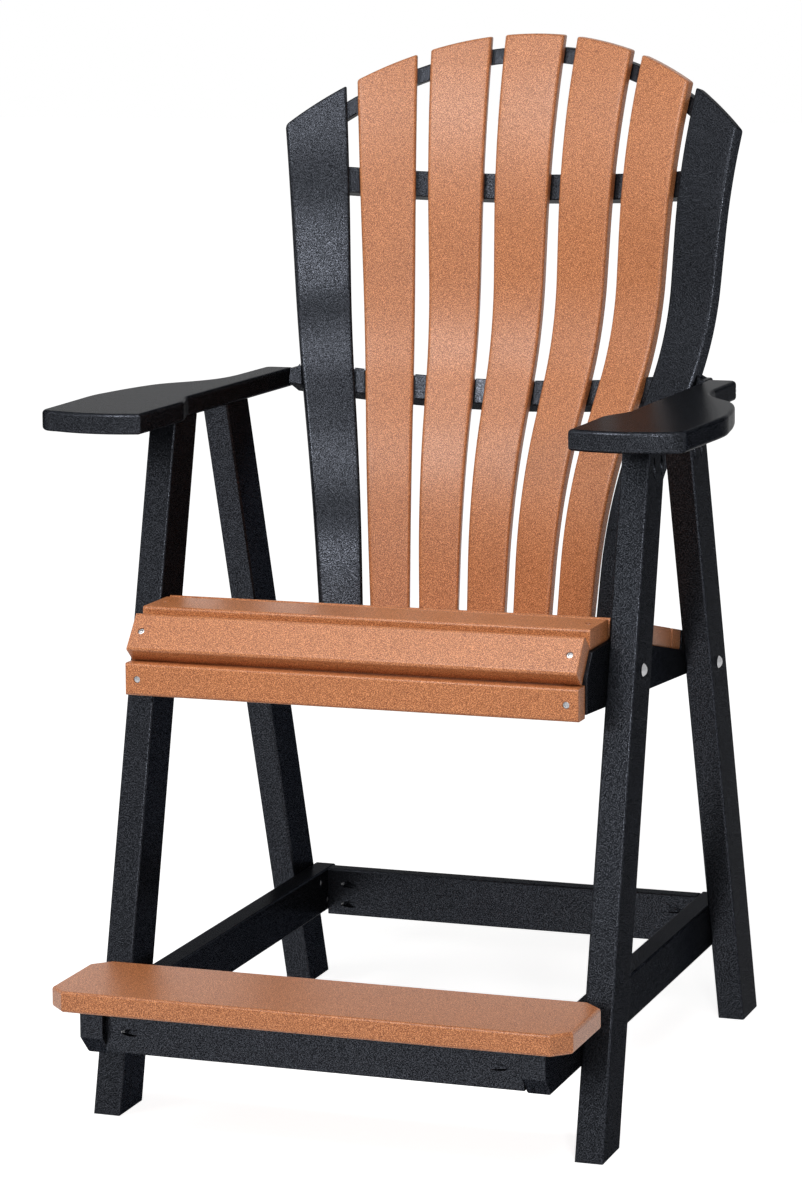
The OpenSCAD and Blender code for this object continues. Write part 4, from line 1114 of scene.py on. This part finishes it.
# %%
def curved_rail(name, rail):
    o, t, half = rail["corner"], rail["tilt"], rail["half"]
    edge, r = rail_front(rail), rail["radius"]
    outline = (arc_line(r, edge - r, half, 48)
               + arc_line(r + RAIL_DEEP, edge - r, half, 48)[::-1])
    down = Vector((0, math.sin(t), math.cos(t))) * -RAIL_HIGH
    at = flat_at(Vector((0, *o)) + down, (0, math.cos(t), -math.sin(t)))
    return board(name, outline, RAIL_HIGH, 2.0, at, corner=1.0)


def notch_and_drill(obj, crossing, screws, reach=60):
    for k in SLATS:
        cut(obj, slat_cutter(k, crossing[k] - reach, crossing[k] + reach))
    drill(obj, screws)


def trim_cutter(side):
    """Takes what stands above the arm off the end of the lowest rail."""
    pts = [(306, ARM_TOP), (344, ARM_TOP), (344, 1016), (292, 1016), (292, 960)]
    return prism([spot(side * x, y, z) for y in (100, 500) for x, z in pts])


arm_rail = curved_rail("arm_rail_board", ARM_RAIL)
for name, side in PAIR:
    cut(arm_rail, trim_cutter(side))
notch_and_drill(arm_rail, ARM_RAIL["s"], "arm_rail_screws")
dress(arm_rail, BLACK, "arm_rail")
upper_rail = curved_rail("upper_rail_board", UPPER_RAIL)
notch_and_drill(upper_rail, UPPER_RAIL["s"], "upper_rail_screws")
dress(upper_rail, BLACK, "upper_rail")


def about_barrel(y, z):
    """Height along the barrel's axis and distance from it, in the chair's middle plane."""
    c, e = math.cos(BARREL_LEAN), math.sin(BARREL_LEAN)
    y, z = y - BARREL_Y, z - BARREL_Z
    return z * c - y * e, y * c + z * e


def barrel_table(d):
    """Heights and distances of the surface that lies d behind the slats' front."""
    return [about_barrel(*behind(10.0 * i, d)) for i in range(LONGEST // 10 + 1)]


def depth_point(x, z, rows):
    """The point at x and z that lies on the surface of revolution given by a table."""
    def over(y):
        w, v = about_barrel(y, z)
        i = max(1, next((j for j, row in enumerate(rows) if row[0] > w), len(rows) - 1))
        (w0, r0), (w1, r1) = rows[i - 1], rows[i]
        return math.hypot(x, v) - (r0 + (r1 - r0) * (w - w0) / (w1 - w0))
    return Vector((x, solve(over, 0, 700), z))


def arch_rail():
    steps, turn = 64, quarter(2.0, 3)
    lo, hi = ARCH_R - ARCH_DROP - ARCH_HIGH, ARCH_R - ARCH_DROP
    near, far = BACK + 0.3, BACK + ARCH_DEEP - 0.1
    ring = [(lo + q, near + p) for p, q in turn] + [(hi - p, near + q) for p, q in turn]
    ring += [(hi - q, far - p) for p, q in turn] + [(lo + p, far - q) for p, q in turn]
    tables = {d: barrel_table(d) for r, d in ring}
    verts, grain = [], []
    for i in range(steps + 1):
        for r, d in ring:
            a = math.asin(ARCH_HALF / r) * (2 * i / steps - 1)
            p = depth_point(r * math.sin(a), ARCH_Z + r * math.cos(a), tables[d])
            verts.append(spot(*p))
            grain.append((a * ARCH_R, r, d))
    n, m = len(ring), steps + 1
    faces = ring_faces(n, m) + [tuple(range(n)), tuple(range((m - 1) * n, m * n))]
    obj = swept("arch_rail_board", verts, grain, faces)
    notch_and_drill(obj, ARCH_S, "arch_rail_screws", reach=110)
    dress(obj, BLACK, "arch_rail")


arch_rail()
print("rails: two cut from boards, one bent")

# %% [markdown]
# ## Screws, bolts, washers and nuts
# Each screw is turned about its axis: a flat round head with a small rim, a six-lobed recess
# for the driver, a plain shank and a point. The bolts have smooth domed heads outside the legs.
# Their washers and nuts already have their true shape, so they only get the steel finish.

# %%
def lathed(bm, place, rings, around=36):
    """Rings of (height, radius, depth of six lobes), from the point to the head's middle."""
    loops = []
    for z, r, lobe in rings:
        turns = [2 * math.pi * i / around for i in range(around)]
        wide = [r + lobe * math.cos(6 * a) for a in turns]
        loops.append([bm.verts.new(place @ Vector((w * math.cos(a) * MM, w * math.sin(a) * MM,
                                                   z * MM))) for a, w in zip(turns, wide)])
    for low, high in zip(loops, loops[1:]):
        for i in range(around):
            j = (i + 1) % around
            bm.faces.new((low[i], low[j], high[j], high[i]))
    bm.faces.new(loops[0][::-1])
    bm.faces.new(loops[-1])


def screw_rings(long, head, shank):
    h, s = head / 2, shank / 2
    return [(-long, 0.3, 0), (6 - long, s, 0), (0, s, 0), (0, h - 0.3, 0), (0.3, h, 0),
            (2.2, h, 0), (2.7, h - 0.2, 0), (2.95, h - 0.7, 0), (3.0, 0.29 * head, 0.35),
            (2.8, 0.26 * head, 0.38), (1.2, 0.24 * head, 0.36), (1.0, 0.12 * head, 0.1)]


def steel_group(name, places, rings):
    bm = bmesh.new()
    for at, way in places:
        lathed(bm, pointing(at, way), rings)
    return mesh_object(name, bm)


for name, places in SCREWS.items():
    widths = (8, 4) if "pocket" in name else (9, 4.8)
    obj = steel_group(name + "_turned", places, screw_rings(LENGTHS[name], *widths))
    dress(obj, STEEL, name)
    print("%-20s %d" % (name, len(places)))

BOLTS = [(Vector((m * LEG_OUT, leg_y(end, z), z)), Vector((m, 0, 0)))
         for m in (1, -1) for end, z in BOLT_Z.items()]
DOME_HIGH, DOME_WIDE = 5, 17.5
dome = (DOME_HIGH ** 2 + DOME_WIDE ** 2 / 4) / 2 / DOME_HIGH
cap = [(z, math.sqrt(dome ** 2 - (z - DOME_HIGH + dome) ** 2), 0)
       for z in (0.5, 1.2, 2.0, 2.8, 3.5, 4.1, 4.6, 4.9, 4.99)]
bolt = [(-79.9, 3.2, 0), (-79, 4, 0), (0, 4, 0), (0, 8.4, 0), (0.15, 8.68, 0)] + cap
dress(steel_group("seat_bolts_turned", BOLTS, bolt), STEEL, "seat_bolts")

for name in ("seat_washers", "seat_nuts"):
    for slot in bpy.data.objects[name].material_slots:
        slot.link = "OBJECT"
        slot.material = STEEL[0]
    print("kept:", name)

# %% [markdown]
# ## Size, and the end
# The box of the whole chair, with the pieces that were made here, is written next to the box
# that the solids had at the start.

# %%
lo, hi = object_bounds()
print("box of the solids ", [round(v, 4) for v in (*cad_lo, *cad_hi)])
print("box of the pieces ", [round(v, 4) for v in (*lo, *hi)])
